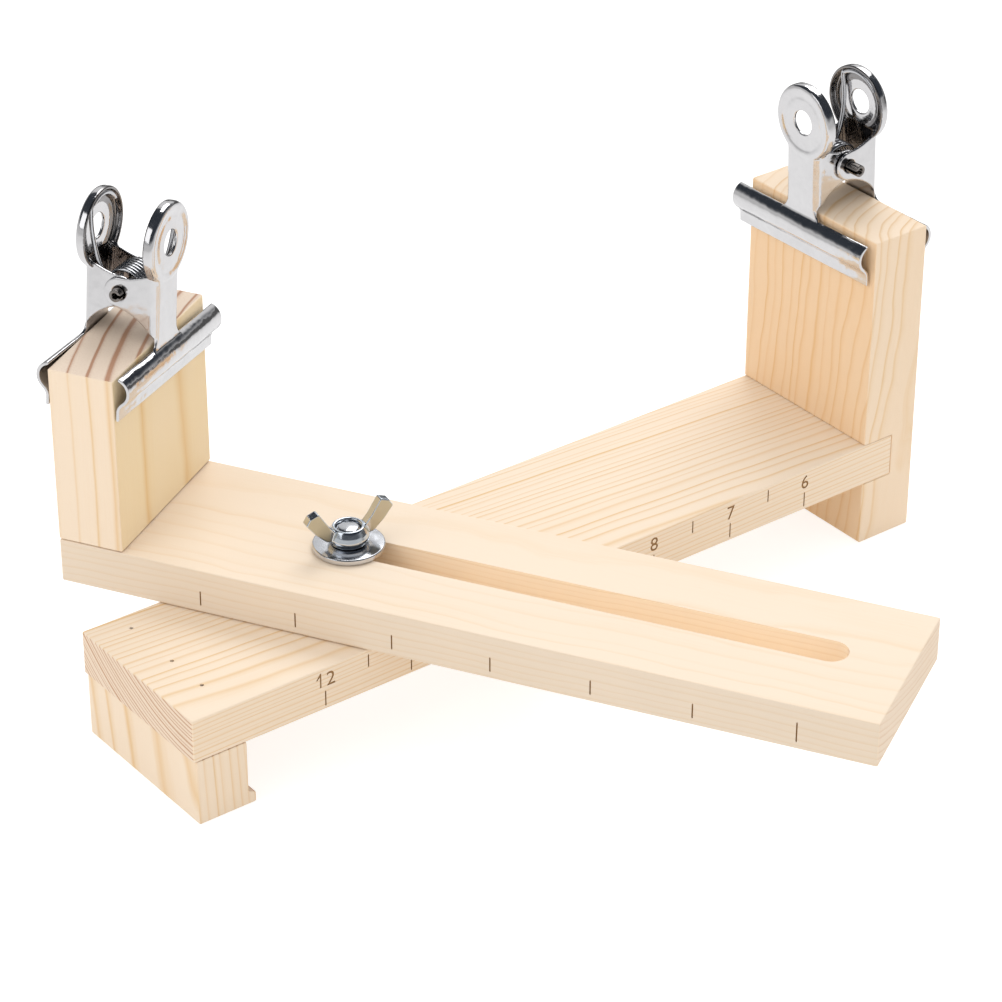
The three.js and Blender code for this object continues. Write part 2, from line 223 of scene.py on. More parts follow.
def group(name, inputs, outputs):
    """An empty shader group with its sockets, and its two end nodes."""
    tree = bpy.data.node_groups.new(name, "ShaderNodeTree")
    for socket, kind, value in inputs:
        made = tree.interface.new_socket(name=socket, in_out="INPUT", socket_type=kind)
        if value is not None:
            made.default_value = value
    for socket, kind in outputs:
        tree.interface.new_socket(name=socket, in_out="OUTPUT", socket_type=kind)
    return tree, tree.nodes.new("NodeGroupInput"), tree.nodes.new("NodeGroupOutput")


def material(name, base, roughness, metallic=0.0):
    """A material with plain values on its main shader, with its graph and that shader."""
    made = bpy.data.materials.new(name)
    made.use_nodes = True
    tree = made.node_tree
    shader = tree.nodes["Principled BSDF"]
    shader.inputs["Base Color"].default_value = (*base, 1)
    shader.inputs["Roughness"].default_value = roughness
    shader.inputs["Metallic"].default_value = metallic
    made.diffuse_color = (*base, 1)
    return made, tree, shader


def object_mm(tree, centre=(0, 0, 0), turn=0.0):
    """Object coordinates in millimetres about a centre in metres, turned about Z by an angle in radians."""
    where = tree.nodes.new("ShaderNodeTexCoord").outputs["Object"]
    shift = add(tree, "ShaderNodeVectorMath", operation="SUBTRACT")
    shift.inputs[1].default_value = centre
    tree.links.new(where, shift.inputs[0])
    spin = add(tree, "ShaderNodeMapping", vector_type="POINT")
    spin.inputs["Scale"].default_value = (1 / MM, 1 / MM, 1 / MM)
    spin.inputs["Rotation"].default_value = (0, 0, turn)
    tree.links.new(shift.outputs[0], spin.inputs["Vector"])
    return spin.outputs[0]


print("shader helpers ready")

# %% [markdown]
# ## Floor, backdrop and light
# The jig stands on white paper under soft light. A flat plane would end in a hard line that shows in the
# metal, so the paper is a round sheet whose rim sweeps up, as a studio's backdrop does.

# %% The sheet of paper
FLOOR_RADIUS = 3.0
SWEEP_START = 0.8  # of the radius
SWEEP_HEIGHT = 0.7
FLOOR_SIDES = 64


def stage_floor():
    """A round floor whose rim sweeps up into a low wall, seen from inside."""
    mesh = bmesh.new()
    profile = [(0.5, 0.0), (FLOOR_RADIUS * SWEEP_START, 0.0)]
    steps = 8
    for step in range(1, steps + 1):
        angle = step / steps * math.pi / 2
        out = FLOOR_RADIUS * (SWEEP_START + (1 - SWEEP_START) * math.sin(angle))
        profile.append((out, SWEEP_HEIGHT * (1 - math.cos(angle))))
    turns = [2 * math.pi * k / FLOOR_SIDES for k in range(FLOOR_SIDES)]
    rings = []
    for radius, height in profile:
        rings.append([mesh.verts.new((radius * math.cos(t), radius * math.sin(t), height)) for t in turns])
    centre = mesh.verts.new((0, 0, 0))
    for k in range(FLOOR_SIDES):
        after = (k + 1) % FLOOR_SIDES
        mesh.faces.new((centre, rings[0][k], rings[0][after]))
        for low, high in zip(rings, rings[1:]):
            mesh.faces.new((low[k], high[k], high[after], low[after]))
    data = bpy.data.meshes.new("floor")
    mesh.to_mesh(data)
    mesh.free()
    floor = bpy.data.objects.new("floor", data)
    bpy.context.scene.collection.objects.link(floor)
    return floor


floor = stage_floor()
print("the floor has", len(floor.data.polygons), "faces")

# %% [markdown]
# The paper is white to the camera and keeps the jig's soft shadow. One plain white shader would do that, but
# polished metal needs something dark beside the white to show its shape. So the paper looks different in a
# reflection: white near the jig, falling away with distance, and dim on the right.

# %% The paper's look
DARK_SIDE = (0.35, 0.1, 0.0)  # the paper gives way to the dim room in this direction


def both(tree, first, second):
    """Two shaders added together."""
    node = tree.nodes.new("ShaderNodeAddShader")
    tree.links.new(first.outputs[0], node.inputs[0])
    tree.links.new(second.outputs[0], node.inputs[1])
    return node


def either(tree, share, first, second):
    """The first shader where share is 0 and the second where it is 1."""
    node = tree.nodes.new("ShaderNodeMixShader")
    for socket, value in zip(node.inputs, (share, first.outputs[0], second.outputs[0])):
        tree.links.new(value, socket)
    return node


def paper():
    """White paper: plain white to the camera, less the jig's shadow, and fading with distance in metal."""
    made = bpy.data.materials.new("paper")
    made.use_nodes = True
    tree = made.node_tree
    tree.nodes.clear()
    matt = add(tree, "ShaderNodeBsdfDiffuse", Color=(0.5, 0.5, 0.5, 1))
    white = add(tree, "ShaderNodeEmission", Color=(1, 1, 1, 1), Strength=0.72)
    seen = both(tree, matt, white)
    warm = add(tree, "ShaderNodeBsdfDiffuse", Color=(0.85, 0.82, 0.78, 1))
    warm_glow = add(tree, "ShaderNodeEmission", Color=(1, 0.95, 0.88, 1), Strength=0.14)
    plain = both(tree, warm, warm_glow)

    where = tree.nodes.new("ShaderNodeTexCoord")
    reach = add(tree, "ShaderNodeVectorMath", operation="LENGTH")
    tree.links.new(where.outputs["Object"], reach.inputs[0])
    fall = ramp(tree, reach.outputs["Value"], [(0.2, 1.0), (0.5, 0.85), (1.0, 0.6)])
    side = add(tree, "ShaderNodeVectorMath", operation="DOT_PRODUCT")
    side.inputs[1].default_value = DARK_SIDE
    tree.links.new(where.outputs["Object"], side.inputs[0])
    away = ramp(tree, side.outputs["Value"], [(0.35, 1.0), (0.6, 0.16)])
    far = add(tree, "ShaderNodeEmission")
    tree.links.new(math_node(tree, "MULTIPLY", fall, away), far.inputs["Color"])

    path = tree.nodes.new("ShaderNodeLightPath")
    mirrored = math_node(tree, "MAXIMUM", path.outputs["Is Glossy Ray"], path.outputs["Is Transmission Ray"])
    unseen = either(tree, mirrored, plain, far)
    shown = either(tree, path.outputs["Is Camera Ray"], unseen, seen)
    out = tree.nodes.new("ShaderNodeOutputMaterial")
    tree.links.new(shown.outputs[0], out.inputs[0])
    return made


floor.data.materials.append(paper())
print("the paper's shader has", len(floor.data.materials[0].node_tree.nodes), "nodes")

# %% [markdown]
# Beyond the paper is a dim room. It is white to the camera, since the jig is shown on plain white, but in
# reflections it is dark above the paper's rim, apart from one pale window. What lies flat would be black
# without that window.

# %% The room
ROOM_DARK = (0.03, 0.036, 0.046)
WINDOW = (0.6, 0.69, 0.4)  # the direction of the pale window
FILL = (0.85, 0.84, 0.83)


def room():
    """The world: white to the camera, dim above the sweep in reflections, and an even fill on the jig."""
    world = bpy.data.worlds.new("room")
    bpy.context.scene.world = world
    world.use_nodes = True
    tree = world.node_tree
    tree.nodes.clear()
    where = tree.nodes.new("ShaderNodeTexCoord")
    height = add(tree, "ShaderNodeSeparateXYZ")
    tree.links.new(where.outputs["Generated"], height.inputs[0])
    dim = ramp(tree, height.outputs["Z"], [(0.0, 0.62), (0.18, 0.5), (0.34, 0.06), (0.45, 0.0)])
    towards = add(tree, "ShaderNodeVectorMath", operation="DOT_PRODUCT")
    towards.inputs[1].default_value = WINDOW
    tree.links.new(where.outputs["Generated"], towards.inputs[0])
    dim = math_node(tree, "MAXIMUM", dim, ramp(tree, towards.outputs["Value"], [(0.84, 0.0), (0.93, 0.72)]))
    path = tree.nodes.new("ShaderNodeLightPath")
    mirrored = math_node(tree, "MAXIMUM", path.outputs["Is Glossy Ray"], path.outputs["Is Transmission Ray"])
    shown = mix_colour(tree, dim, ROOM_DARK, (1, 1, 1))
    fill = mix_colour(tree, mirrored, FILL, shown)
    colour = mix_colour(tree, path.outputs["Is Camera Ray"], fill, (1, 1, 1))
    glow = tree.nodes.new("ShaderNodeBackground")
    out = tree.nodes.new("ShaderNodeOutputWorld")
    tree.links.new(colour, glow.inputs[0])
    tree.links.new(glow.outputs[0], out.inputs[0])


room()
print("the room's shader has", len(bpy.context.scene.world.node_tree.nodes), "nodes")

# %% [markdown]
# A wide soft lamp stands high on the right and a weaker one on the left. Area lamps are used because their
# size sets how soft a shadow's edge is; a sun or a point lamp would draw hard shadows under the boards.

# %% The lamps


def soft_lamp(name, at, size, watts):
    """A square area lamp aimed at the jig's middle."""
    data = bpy.data.lights.new(name, "AREA")
    data.shape = "SQUARE"
    data.size = size
    data.energy = watts
    lamp = bpy.data.objects.new(name, data)
    bpy.context.scene.collection.objects.link(lamp)
    lamp.location = at
    aim = (cad_low + cad_high) / 2 - lamp.location
    lamp.rotation_euler = aim.to_track_quat("-Z", "Y").to_euler()


soft_lamp("key_lamp", Vector((0.75, 0.55, 1.25)), size=0.9, watts=8)
soft_lamp("fill_lamp", Vector((-1.2, 0.1, 0.85)), size=0.8, watts=2.6)

# %% [markdown]
# ## Pine
# Pine grows in rings: pale, soft early wood that darkens to a narrow line of late wood and stops sharply.
# A board is a straight cut through that cone of rings, so one pattern in space gives the lines along the
# faces, the arches on a flat-sawn face and the arcs on the end grain, and they meet at every edge. The group
# takes millimetres with the grain along X and the tree's heart on the X axis, and each board puts its own
# heart somewhere else.

# %% Rings


def stretched(tree, place, along, across):
    """A place scaled by one number along the grain and another across it."""
    node = add(tree, "ShaderNodeVectorMath", operation="MULTIPLY")
    node.inputs[1].default_value = (along, across, across)
    tree.links.new(place, node.inputs[0])
    return node.outputs[0]


def late_wood(tree, source):
    """The dark lines of the rings: 0 in a year's pale wood and up to 1 where the year ends."""
    place = source.outputs["Place"]
    drift = noise(tree, stretched(tree, place, 0.018, 0.03), 1.0, 3.0)
    drift = math_node(tree, "MULTIPLY", math_node(tree, "SUBTRACT", drift, 0.5), source.outputs["Wander"])
    parts = tree.nodes.new("ShaderNodeSeparateXYZ")
    tree.links.new(place, parts.inputs[0])
    square = math_node(tree, "MULTIPLY", parts.outputs["Y"], parts.outputs["Y"])
    square = math_node(tree, "MULTIPLY_ADD", parts.outputs["Z"], parts.outputs["Z"], square)
    radius = math_node(tree, "SQRT", square)
    waved = math_node(tree, "MULTIPLY_ADD", drift, 6.0, radius)
    count = math_node(tree, "DIVIDE", waved, source.outputs["Ring"])
    years = add(tree, "ShaderNodeCombineXYZ")
    tree.links.new(count, years.inputs[0])
    uneven = noise(tree, years.outputs[0], 0.45, 1.0)
    count = math_node(tree, "MULTIPLY_ADD", uneven, 1.6, count)
    season = math_node(tree, "FRACT", count)
    line = ramp(tree, season, [(0.0, 0.5), (0.07, 0.0), (0.55, 0.03), (0.8, 0.4), (0.93, 1.0), (1.0, 0.5)])
    line = math_node(tree, "POWER", line, source.outputs["Fineness"])
    year = math_node(tree, "FLOOR", count)
    pick = add(tree, "ShaderNodeTexWhiteNoise", noise_dimensions="1D")
    tree.links.new(year, pick.inputs["W"])
    varied = math_node(tree, "MULTIPLY_ADD", pick.outputs["Value"], 0.7, 0.45)
    return math_node(tree, "MULTIPLY", line, varied)


print("rings can be drawn")

# %% [markdown]
# The rest of pine is fine fibres along the grain, broad blotches of tone and small dark flecks. They are the
# same noise at one place scaled three ways, so that each comes out as long and as thin as it is in wood.

# %% The grain group
END_PALE = (0.76, 0.62, 0.52)
END_LINE = (0.5, 0.28, 0.18)


def grain_group():
    """Rings, fibres and blotches of pine as a colour, a roughness and a height."""
    tree, source, out = group(
        "pine_grain",
        [
            ("Place", "NodeSocketVector", None),
            ("Ring", "NodeSocketFloat", 2.6),
            ("Pale", "NodeSocketColor", (0.9, 0.78, 0.6, 1)),
            ("Line", "NodeSocketColor", (0.7, 0.45, 0.24, 1)),
            ("Line strength", "NodeSocketFloat", 0.5),
            ("Wander", "NodeSocketFloat", 1.4),
            ("End", "NodeSocketFloat", 0.0),
            ("Fineness", "NodeSocketFloat", 1.0),
        ],
        [("Colour", "NodeSocketColor"), ("Roughness", "NodeSocketFloat"), ("Height", "NodeSocketFloat")],
    )
    place = source.outputs["Place"]
    line = late_wood(tree, source)
    fibre = noise(tree, stretched(tree, place, 0.06, 2.6), 1.0, 3.0, 0.6)
    blotch = noise(tree, stretched(tree, place, 0.012, 0.06), 1.0, 2.0)
    fleck = noise(tree, stretched(tree, place, 0.35, 1.9), 1.0, 1.0)
    fleck = ramp(tree, fleck, [(0.72, 0.0), (0.8, 1.0)])

    end = source.outputs["End"]
    sharper = math_node(tree, "MULTIPLY_ADD", end, 2.0, 1.0)
    strong = math_node(tree, "MULTIPLY", source.outputs["Line strength"], sharper)
    share = math_node(tree, "MULTIPLY", line, strong)
    speck = math_node(tree, "SUBTRACT", noise(tree, place, 2.2, 2.0), 0.5)
    share = math_node(tree, "MULTIPLY_ADD", math_node(tree, "MULTIPLY", speck, end), 0.5, share)
    share = math_node(tree, "MULTIPLY_ADD", math_node(tree, "SUBTRACT", fibre, 0.5), 0.16, share)
    share = math_node(tree, "MULTIPLY_ADD", math_node(tree, "SUBTRACT", blotch, 0.5), 0.25, share)
    share = math_node(tree, "MULTIPLY_ADD", fleck, 0.1, share)
    share = math_node(tree, "MINIMUM", math_node(tree, "MAXIMUM", share, 0.0), 1.0)
    soft = mix_colour(tree, math_node(tree, "MULTIPLY", end, 0.45), source.outputs["Pale"], END_PALE)
    firm = mix_colour(tree, end, source.outputs["Line"], END_LINE)
    colour = mix_colour(tree, share, soft, firm)
    rough = math_node(tree, "MULTIPLY_ADD", fibre, 0.16, 0.5)
    height = math_node(tree, "MULTIPLY_ADD", line, -0.35, fibre)
    tree.links.new(colour, out.inputs["Colour"])
    tree.links.new(rough, out.inputs["Roughness"])
    tree.links.new(height, out.inputs["Height"])
    return tree


GRAIN = grain_group()
print("grain group has", len(GRAIN.nodes), "nodes")

# %% [markdown]
# One board's pine is the shared group with its own heart, ring width and strength. Two more things are added
# to it. The end grain shows its rings more plainly, and the faces that look one way get a tint of painted
# shade and bounced light. Both depend only on which way a face looks.

# %% Pine for one board


def facing(tree, direction):
    """How squarely a face looks along a direction of the row frame, at rest: 1 is straight at it."""
    normal = tree.nodes.new("ShaderNodeTexCoord").outputs["Normal"]
    dot = add(tree, "ShaderNodeVectorMath", operation="DOT_PRODUCT")
    dot.inputs[1].default_value = direction
    tree.links.new(normal, dot.inputs[0])
    return dot.outputs["Value"]


PALE = (0.9, 0.762, 0.61)
LATE = (0.77, 0.51, 0.23)


def pine(name, grain, heart, tilt, turn=0.0, ring=2.6, strength=0.5, pale=PALE, wander=1.0, painted_side=None,
         end=1.0, fine=1.0):
    """Pine whose grain runs along x or z. heart is the tree's middle in the row frame, in metres; tilt turns
    the grain a few degrees off the board's own length. The side direction with its tint paints shade and
    bounced light on the faces that look that way; end is how plainly the rings show on the end grain; fine
    above 1 narrows the dark lines."""
    made, tree, shader = material(name, pale, 0.6)
    place = object_mm(tree, heart, -turn)
    lay = add(tree, "ShaderNodeMapping", vector_type="POINT")
    upright = math.pi / 2 if grain == "z" else 0.0
    lay.inputs["Rotation"].default_value = (0, upright + math.radians(tilt[1]), math.radians(tilt[0]))
    tree.links.new(place, lay.inputs["Vector"])
    wood = tree.nodes.new("ShaderNodeGroup")
    wood.node_tree = GRAIN
    tree.links.new(lay.outputs[0], wood.inputs["Place"])
    values = {"Ring": ring, "Pale": (*pale, 1), "Line": (*LATE, 1), "Line strength": strength}
    values.update({"Wander": wander, "Fineness": fine})
    for socket, value in values.items():
        wood.inputs[socket].default_value = value
    length = (0, 0, 1) if grain == "z" else (math.cos(turn), math.sin(turn), 0)
    ends = math_node(tree, "ABSOLUTE", facing(tree, length))
    tree.links.new(ramp(tree, ends, [(0.7, 0.0), (0.9, end)]), wood.inputs["End"])
    colour = wood.outputs["Colour"]
    # Shade and bounced light, a little patchy, painted on the faces that look one way.
    if painted_side:
        share = ramp(tree, facing(tree, painted_side[0]), [(0.6, 0.0), (0.95, 1.0)])
        patchy = math_node(tree, "MULTIPLY", noise(tree, place, 0.04, 2.0), 0.5)
        tint = mix_colour(tree, patchy, painted_side[1], (1, 1, 1))
        colour = mix_colour(tree, share, colour, mix_colour(tree, 1.0, colour, tint, "MULTIPLY"))
    bump = add(tree, "ShaderNodeBump", Strength=0.35, Distance=0.00006)
    tree.links.new(colour, shader.inputs["Base Color"])
    tree.links.new(wood.outputs["Roughness"], shader.inputs["Roughness"])
    tree.links.new(wood.outputs["Height"], bump.inputs["Height"])
    tree.links.new(bump.outputs[0], shader.inputs["Normal"])
    shader.inputs["Specular IOR Level"].default_value = 0.3
    return made


print("pine from", PALE, "to", LATE)

# %% [markdown]
# Where a board lay in its tree decides its look. The base board lay some way below the heart, and fine lines
# run along its top. The base post was cut close behind the heart and at a slant to it, so its rings are arcs
# on the end and drift across its faces. The arm's post lay far out to one side, which gives straight stripes.

# %% The timbers' materials
arm_turn = math.atan2(arm_x.y, arm_x.x)
base_low, base_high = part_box("base_board")
post_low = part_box("base_post")[0]
foot_low, foot_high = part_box("base_foot")
arm_post_middle = sum(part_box("arm_post"), Vector()) / 2
arm_y = UP.cross(arm_x)

base_heart = (0, base_low.y - 0.009, base_high.z + 0.055)
pine_base = pine("pine_base", "x", base_heart, (3.0, 0.4), ring=1.2, strength=0.95, wander=0.2,
                 end=0.8, fine=1.3)

post_heart = (post_low.x + 0.02, post_low.y - 0.012, 0.05)
# The post's own tone, a little more orange than the other boards, with warm bounce light painted into it.
post_pale = (0.9, 0.74, 0.57)
# Warm shade painted on the post's inner face, which looks back along the board.
post_painted_side = ((-1, 0, 0), (0.99, 0.86, 0.7))
pine_post = pine("pine_post", "z", post_heart, (0.5, -6.0), ring=3.1, strength=0.6, pale=post_pale,
                 wander=1.6, painted_side=post_painted_side, end=0.15)

foot_heart = (foot_high.x + 0.15, foot_low.y - 0.01, 0)
pine_foot = pine("pine_foot", "z", foot_heart, (0, 2.2), ring=2.3, strength=0.7, wander=0.25)

# Greyer shade painted on the arm's front faces.
arm_painted_side = (tuple(-arm_y), (0.87, 0.89, 0.92))
arm_heart = bolt_at + arm_x * 0.04 + arm_y * 0.03 + UP * 0.12
arm_tilt = (0.8, 0.7)
pine_arm = pine("pine_arm", "x", arm_heart, arm_tilt, arm_turn, ring=1.7, strength=0.24, wander=0.6,
                end=0.45, painted_side=arm_painted_side)
# The slot's walls: routed wood, warmer and more plainly lined, with warm bounce light painted in.
slot_bounce_pale = (1.0, 0.83, 0.63)
pine_slot_bounce = pine("pine_slot_bounce", "x", arm_heart, arm_tilt, arm_turn, ring=1.7, strength=0.4,
                   pale=slot_bounce_pale, wander=0.6)

arm_post_heart = arm_post_middle + arm_x * 0.15 + arm_y * 0.03
# Yellow bounce light painted on the arm post's faces that look along the arm.
arm_post_painted_side = (tuple(arm_x), (1.0, 0.97, 0.77))
pine_arm_post = pine("pine_arm_post", "z", arm_post_heart, (0.6, 0.3), arm_turn, ring=4.9, strength=0.75,
                     wander=0.3, painted_side=arm_post_painted_side, fine=2.2)
print("six cuts of pine")

# %% [markdown]
# ## Drawing timber
# A sawn board is an outline with a thickness. A filled 2D curve gives exactly that, with any holes as inner
# outlines, and its bevel rounds the long edges as a pass of sandpaper does. Corners in the outline get a
# small arc of their own. The result is made a plain mesh before it is put in place.

# %% Outlines


def arc(x, y, radius, start, end, steps):
    """Points of an arc from one angle to another, in degrees."""
    turns = [math.radians(start + (end - start) * k / steps) for k in range(steps + 1)]
    return [(x + radius * math.cos(t), y + radius * math.sin(t)) for t in turns]


def softened(points, radius, steps=3):
    """An outline with each corner cut back to a small arc."""
    corners = [Vector(p) for p in points]
    made = []
    for k, corner in enumerate(corners):
        before = (corners[k - 1] - corner).normalized()
        after = (corners[(k + 1) % len(corners)] - corner).normalized()
        half = math.acos(max(-1, min(1, before.dot(after)))) / 2
        reach = radius / math.tan(half)
        start, end = corner + before * reach, corner + after * reach
        centre = corner + (before + after).normalized() * radius / math.sin(half)
        for step in range(steps + 1):
            spoke = (start - centre).lerp(end - centre, step / steps).normalized() * radius
            made.append(tuple(centre + spoke))
    return made


def box_outline(left, bottom, right, top):
    return [(left, bottom), (right, bottom), (right, top), (left, top)]


print("a softened square has", len(softened(box_outline(0, 0, 10, 10), 1)), "points")

# %% [markdown]
# A plate could also be a cube with a Bevel modifier, but a filled curve takes any outline with any holes, and
# rounds them all at once.

# %% Plates


def take_mesh(maker):
    """The evaluated mesh of a temporary object, which is then removed."""
    bpy.context.view_layer.update()
    graph = bpy.context.evaluated_depsgraph_get()
    mesh = bpy.data.meshes.new_from_object(maker.evaluated_get(graph))
    bpy.data.objects.remove(maker)
    return mesh


def mend(mesh, gap=1e-4):
    """Merges doubled corners and turns every face outwards."""
    shape = bmesh.new()
    shape.from_mesh(mesh)
    bmesh.ops.remove_doubles(shape, verts=shape.verts, dist=gap)
    bmesh.ops.recalc_face_normals(shape, faces=shape.faces)
    shape.to_mesh(mesh)
    shape.free()


def plate(outlines, bottom, top, edge):
    """A mesh in millimetres: outlines in XY, filled between two heights, its long edges rounded."""
    curve = bpy.data.curves.new("plate", "CURVE")
    curve.dimensions = "2D"
    curve.fill_mode = "BOTH"
    curve.extrude = (top - bottom) / 2 - edge
    curve.bevel_depth = edge
    curve.bevel_resolution = 2 if edge else 0
    curve.offset = -edge
    for outline in outlines:
        spline = curve.splines.new("POLY")
        spline.points.add(len(outline) - 1)
        spline.points.foreach_set("co", [v for x, y in outline for v in (x, y, 0, 1)])
        spline.use_cyclic_u = True
    maker = bpy.data.objects.new("plate", curve)
    bpy.context.scene.collection.objects.link(maker)
    mesh = take_mesh(maker)
    mesh.transform(Matrix.Translation((0, 0, (top + bottom) / 2)))
    mend(mesh)
    return mesh


STANDING = Matrix.Rotation(math.pi / 2, 4, "X")  # takes an outline from XY to XZ, its thickness along -Y


def standing_plate(outlines, y_low, y_high, edge=0.0):
    """Outlines drawn in X and Z, made thick along Y."""
    mesh = plate(outlines, y_low, y_high, edge)
    mesh.transform(Matrix.Translation((0, y_low + y_high, 0)) @ STANDING)
    return mesh


print("plates ready")

# %% [markdown]
# Holes, slots and joints are cut with booleans, as a drill or a saw would cut them. Modelling their edges by
# hand would mean a new outline for each height. A cut takes the look of its tool, so that the scorched marks
# and the slot's routed walls, with warm bounce light painted on them, need no painting afterwards.

# %% Cutting, joining and moving


def cut(mesh, tools, operation="DIFFERENCE"):
    """The mesh with each tool mesh cut away, joined or kept in common; the cut faces take the tool's look."""
    maker = bpy.data.objects.new("blank", mesh)
    bpy.context.scene.collection.objects.link(maker)
    helpers = []
    for tool in tools:
        helper = bpy.data.objects.new("tool", tool)
        bpy.context.scene.collection.objects.link(helper)
        step = maker.modifiers.new("cut", "BOOLEAN")
        step.operation = operation
        step.solver = "EXACT"
        step.material_mode = "TRANSFER"
        step.object = helper
        helpers.append(helper)
    made = take_mesh(maker)
    for helper in helpers:
        bpy.data.objects.remove(helper)
    return made


def joined(*parts):
    """Several meshes as one."""
    shape = bmesh.new()
    for part in parts:
        shape.from_mesh(part)
    mesh = bpy.data.meshes.new("joined")
    shape.to_mesh(mesh)
    shape.free()
    return mesh


def rod(radius, start, end, sides):
    """A closed round bar between two points, in millimetres."""
    shape = bmesh.new()
    start, end = Vector(start), Vector(end)
    way = (end - start).to_track_quat("Z", "Y").to_matrix().to_4x4()
    place = Matrix.Translation((start + end) / 2) @ way
    length = (end - start).length
    bmesh.ops.create_cone(shape, cap_ends=True, segments=sides, radius1=radius, radius2=radius,
                          depth=length, matrix=place)
    mesh = bpy.data.meshes.new("rod")
    shape.to_mesh(mesh)
    shape.free()
    return mesh


def moved(mesh, matrix):
    """A copy of a mesh, moved."""
    copy = mesh.copy()
    copy.transform(matrix)
    return copy


print("cutters and copies ready")

# %% [markdown]
# Every piece ends in the same way: its mesh goes from millimetres to its place, gets its look and its
# shading, rides on a body of the jig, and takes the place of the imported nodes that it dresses.

# %% Putting a piece in place


def show(name, mesh, place, body, look, replaces=(), smooth=35):
    """Puts a finished millimetre mesh in place as a piece that rides on a body, with one look or its own."""
    mesh.transform(place)
    if look:
        mesh.materials.clear()
        mesh.materials.append(look)
    mesh.polygons.foreach_set("use_smooth", [True] * len(mesh.polygons))
    mesh.set_sharp_from_angle(angle=math.radians(smooth))
    mesh.name = name
    piece = bpy.data.objects.new(name, mesh)
    bpy.context.scene.collection.objects.link(piece)
    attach(piece, body)
    if replaces:
        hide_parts(*replaces)
    print(name, len(mesh.polygons), "faces on", body)


print("pieces can be placed")

# %% [markdown]
# ## The five timbers
# The base board is planed pine with a drilled hole for the bolt. Its foot is a block cut across with a small
# toe left at its inner edge, and its post has a housing sawn across it that takes the board's end. The arm
# is the same board with a long slot, routed with a round cutter, so that it slides on the bolt. Boxes are
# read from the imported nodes, and only the shapes inside them are drawn here.

# %% The timbers' corners


def local_box(node, place):
    """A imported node's two corners, in millimetres of a part's own frame."""
    back = place.inverted()
    corners = [back @ v.co for v in frame["nodes"][node].data.vertices]
    low = Vector(min(c[i] for c in corners) for i in range(3))
    high = Vector(max(c[i] for c in corners) for i in range(3))
    return low, high


board_low, board_high = local_box("base_board", base_place)
upright_low, upright_high = local_box("base_post", base_place)
block_low, block_high = local_box("base_foot", base_place)
slider_low, slider_high = local_box("arm_board", arm_place)
arm_upright_low, arm_upright_high = local_box("arm_post", arm_place)
print("base board", [round(v, 1) for v in board_high - board_low], "mm")

# %% [markdown]
# Each timber is its outline with a thickness. The board's bolt hole belongs to the outline. The post and the
# foot are drawn from the side, because their housing and toe run right through them.

# %% Base board, post and foot
EDGE = 0.35  # how far sandpaper has rounded the edges
CORNER = EDGE + 0.1  # the arc at an outline's corner, which the rounded edge has to fit inside
HOLE = 3.3  # the radius of the bolt's hole in the board and in the washer
GLUE = 0.07  # the thickness of a glue line
TOE, TOE_HEIGHT, TOE_SLOPE = 2.0, 3.6, 0.8


def sawn_board(low, high, holes=()):
    """A flat board between two corners, with its holes."""
    around = softened(box_outline(low.x, low.y, high.x, high.y), CORNER)
    return plate([around, *holes], low.z, high.z, EDGE)


def profile_block(points, y_low, y_high):
    """A block whose side outline is drawn in X and Z, with rounded edges."""
    return standing_plate([softened(points, CORNER)], y_low, y_high, EDGE)


base_board = sawn_board(board_low, board_high, [arc(0, 0, HOLE, 360, 8, 44)])

notch = board_low.z - GLUE
post_side = [
    (upright_low.x, upright_low.z), (upright_high.x, upright_low.z),
    (upright_high.x, upright_high.z), (upright_low.x, upright_high.z),
    (upright_low.x, GLUE), (board_high.x + GLUE, GLUE), (board_high.x + GLUE, notch), (upright_low.x, notch),
]
base_post = profile_block(post_side, upright_low.y, upright_high.y)

heel = block_high.x - TOE
toe_top = block_low.z + TOE_HEIGHT
foot_side = [
    (block_low.x, block_low.z), (block_high.x, block_low.z), (block_high.x, toe_top - TOE_SLOPE),
    (heel, toe_top), (heel, block_high.z), (block_low.x, block_high.z),
]
base_foot = profile_block(foot_side, block_low.y, block_high.y)
print("base blanks", [len(m.polygons) for m in (base_board, base_post, base_foot)])

# %% [markdown]
# The arm is a plain board at first. Its slot is not part of the outline but a tool, so that the routed wood
# inside the slot can have its own colour, warmer than the board, with the light bounced in the slot painted
# in.

# %% Arm board and post
SLOT_RADIUS, SLOT_SHIFT, SLOT_LEFT, SLOT_RIGHT = 4.55, 1.1, -9.4, 127.6

slot = arc(SLOT_RIGHT - SLOT_RADIUS, SLOT_SHIFT, SLOT_RADIUS, 90, -90, 24)
slot += arc(SLOT_LEFT + SLOT_RADIUS, SLOT_SHIFT, SLOT_RADIUS, 270, 90, 24)
slot_cutter = plate([slot[::-1]], slider_low.z - 1, slider_high.z + 1, 0)
slot_cutter.materials.append(pine_slot_bounce)
arm_board = sawn_board(slider_low, slider_high)
arm_post_side = box_outline(arm_upright_low.x, arm_upright_low.z, arm_upright_high.x, arm_upright_high.z)
arm_post = profile_block(arm_post_side, arm_upright_low.y, arm_upright_high.y)
print("arm blanks", [len(m.polygons) for m in (arm_board, arm_post)])

# %% [markdown]
# ## Holes for the brads
# Thin nails without a real head hold the timbers together: three down through the board into the foot,
# three through the post into the board's end, and three up through the arm into its post. Each needs a hole
# in both timbers, or the nail would run through solid wood. One function for each row makes its cutters
# anew, because a cutter takes the look of the timber that it bores.

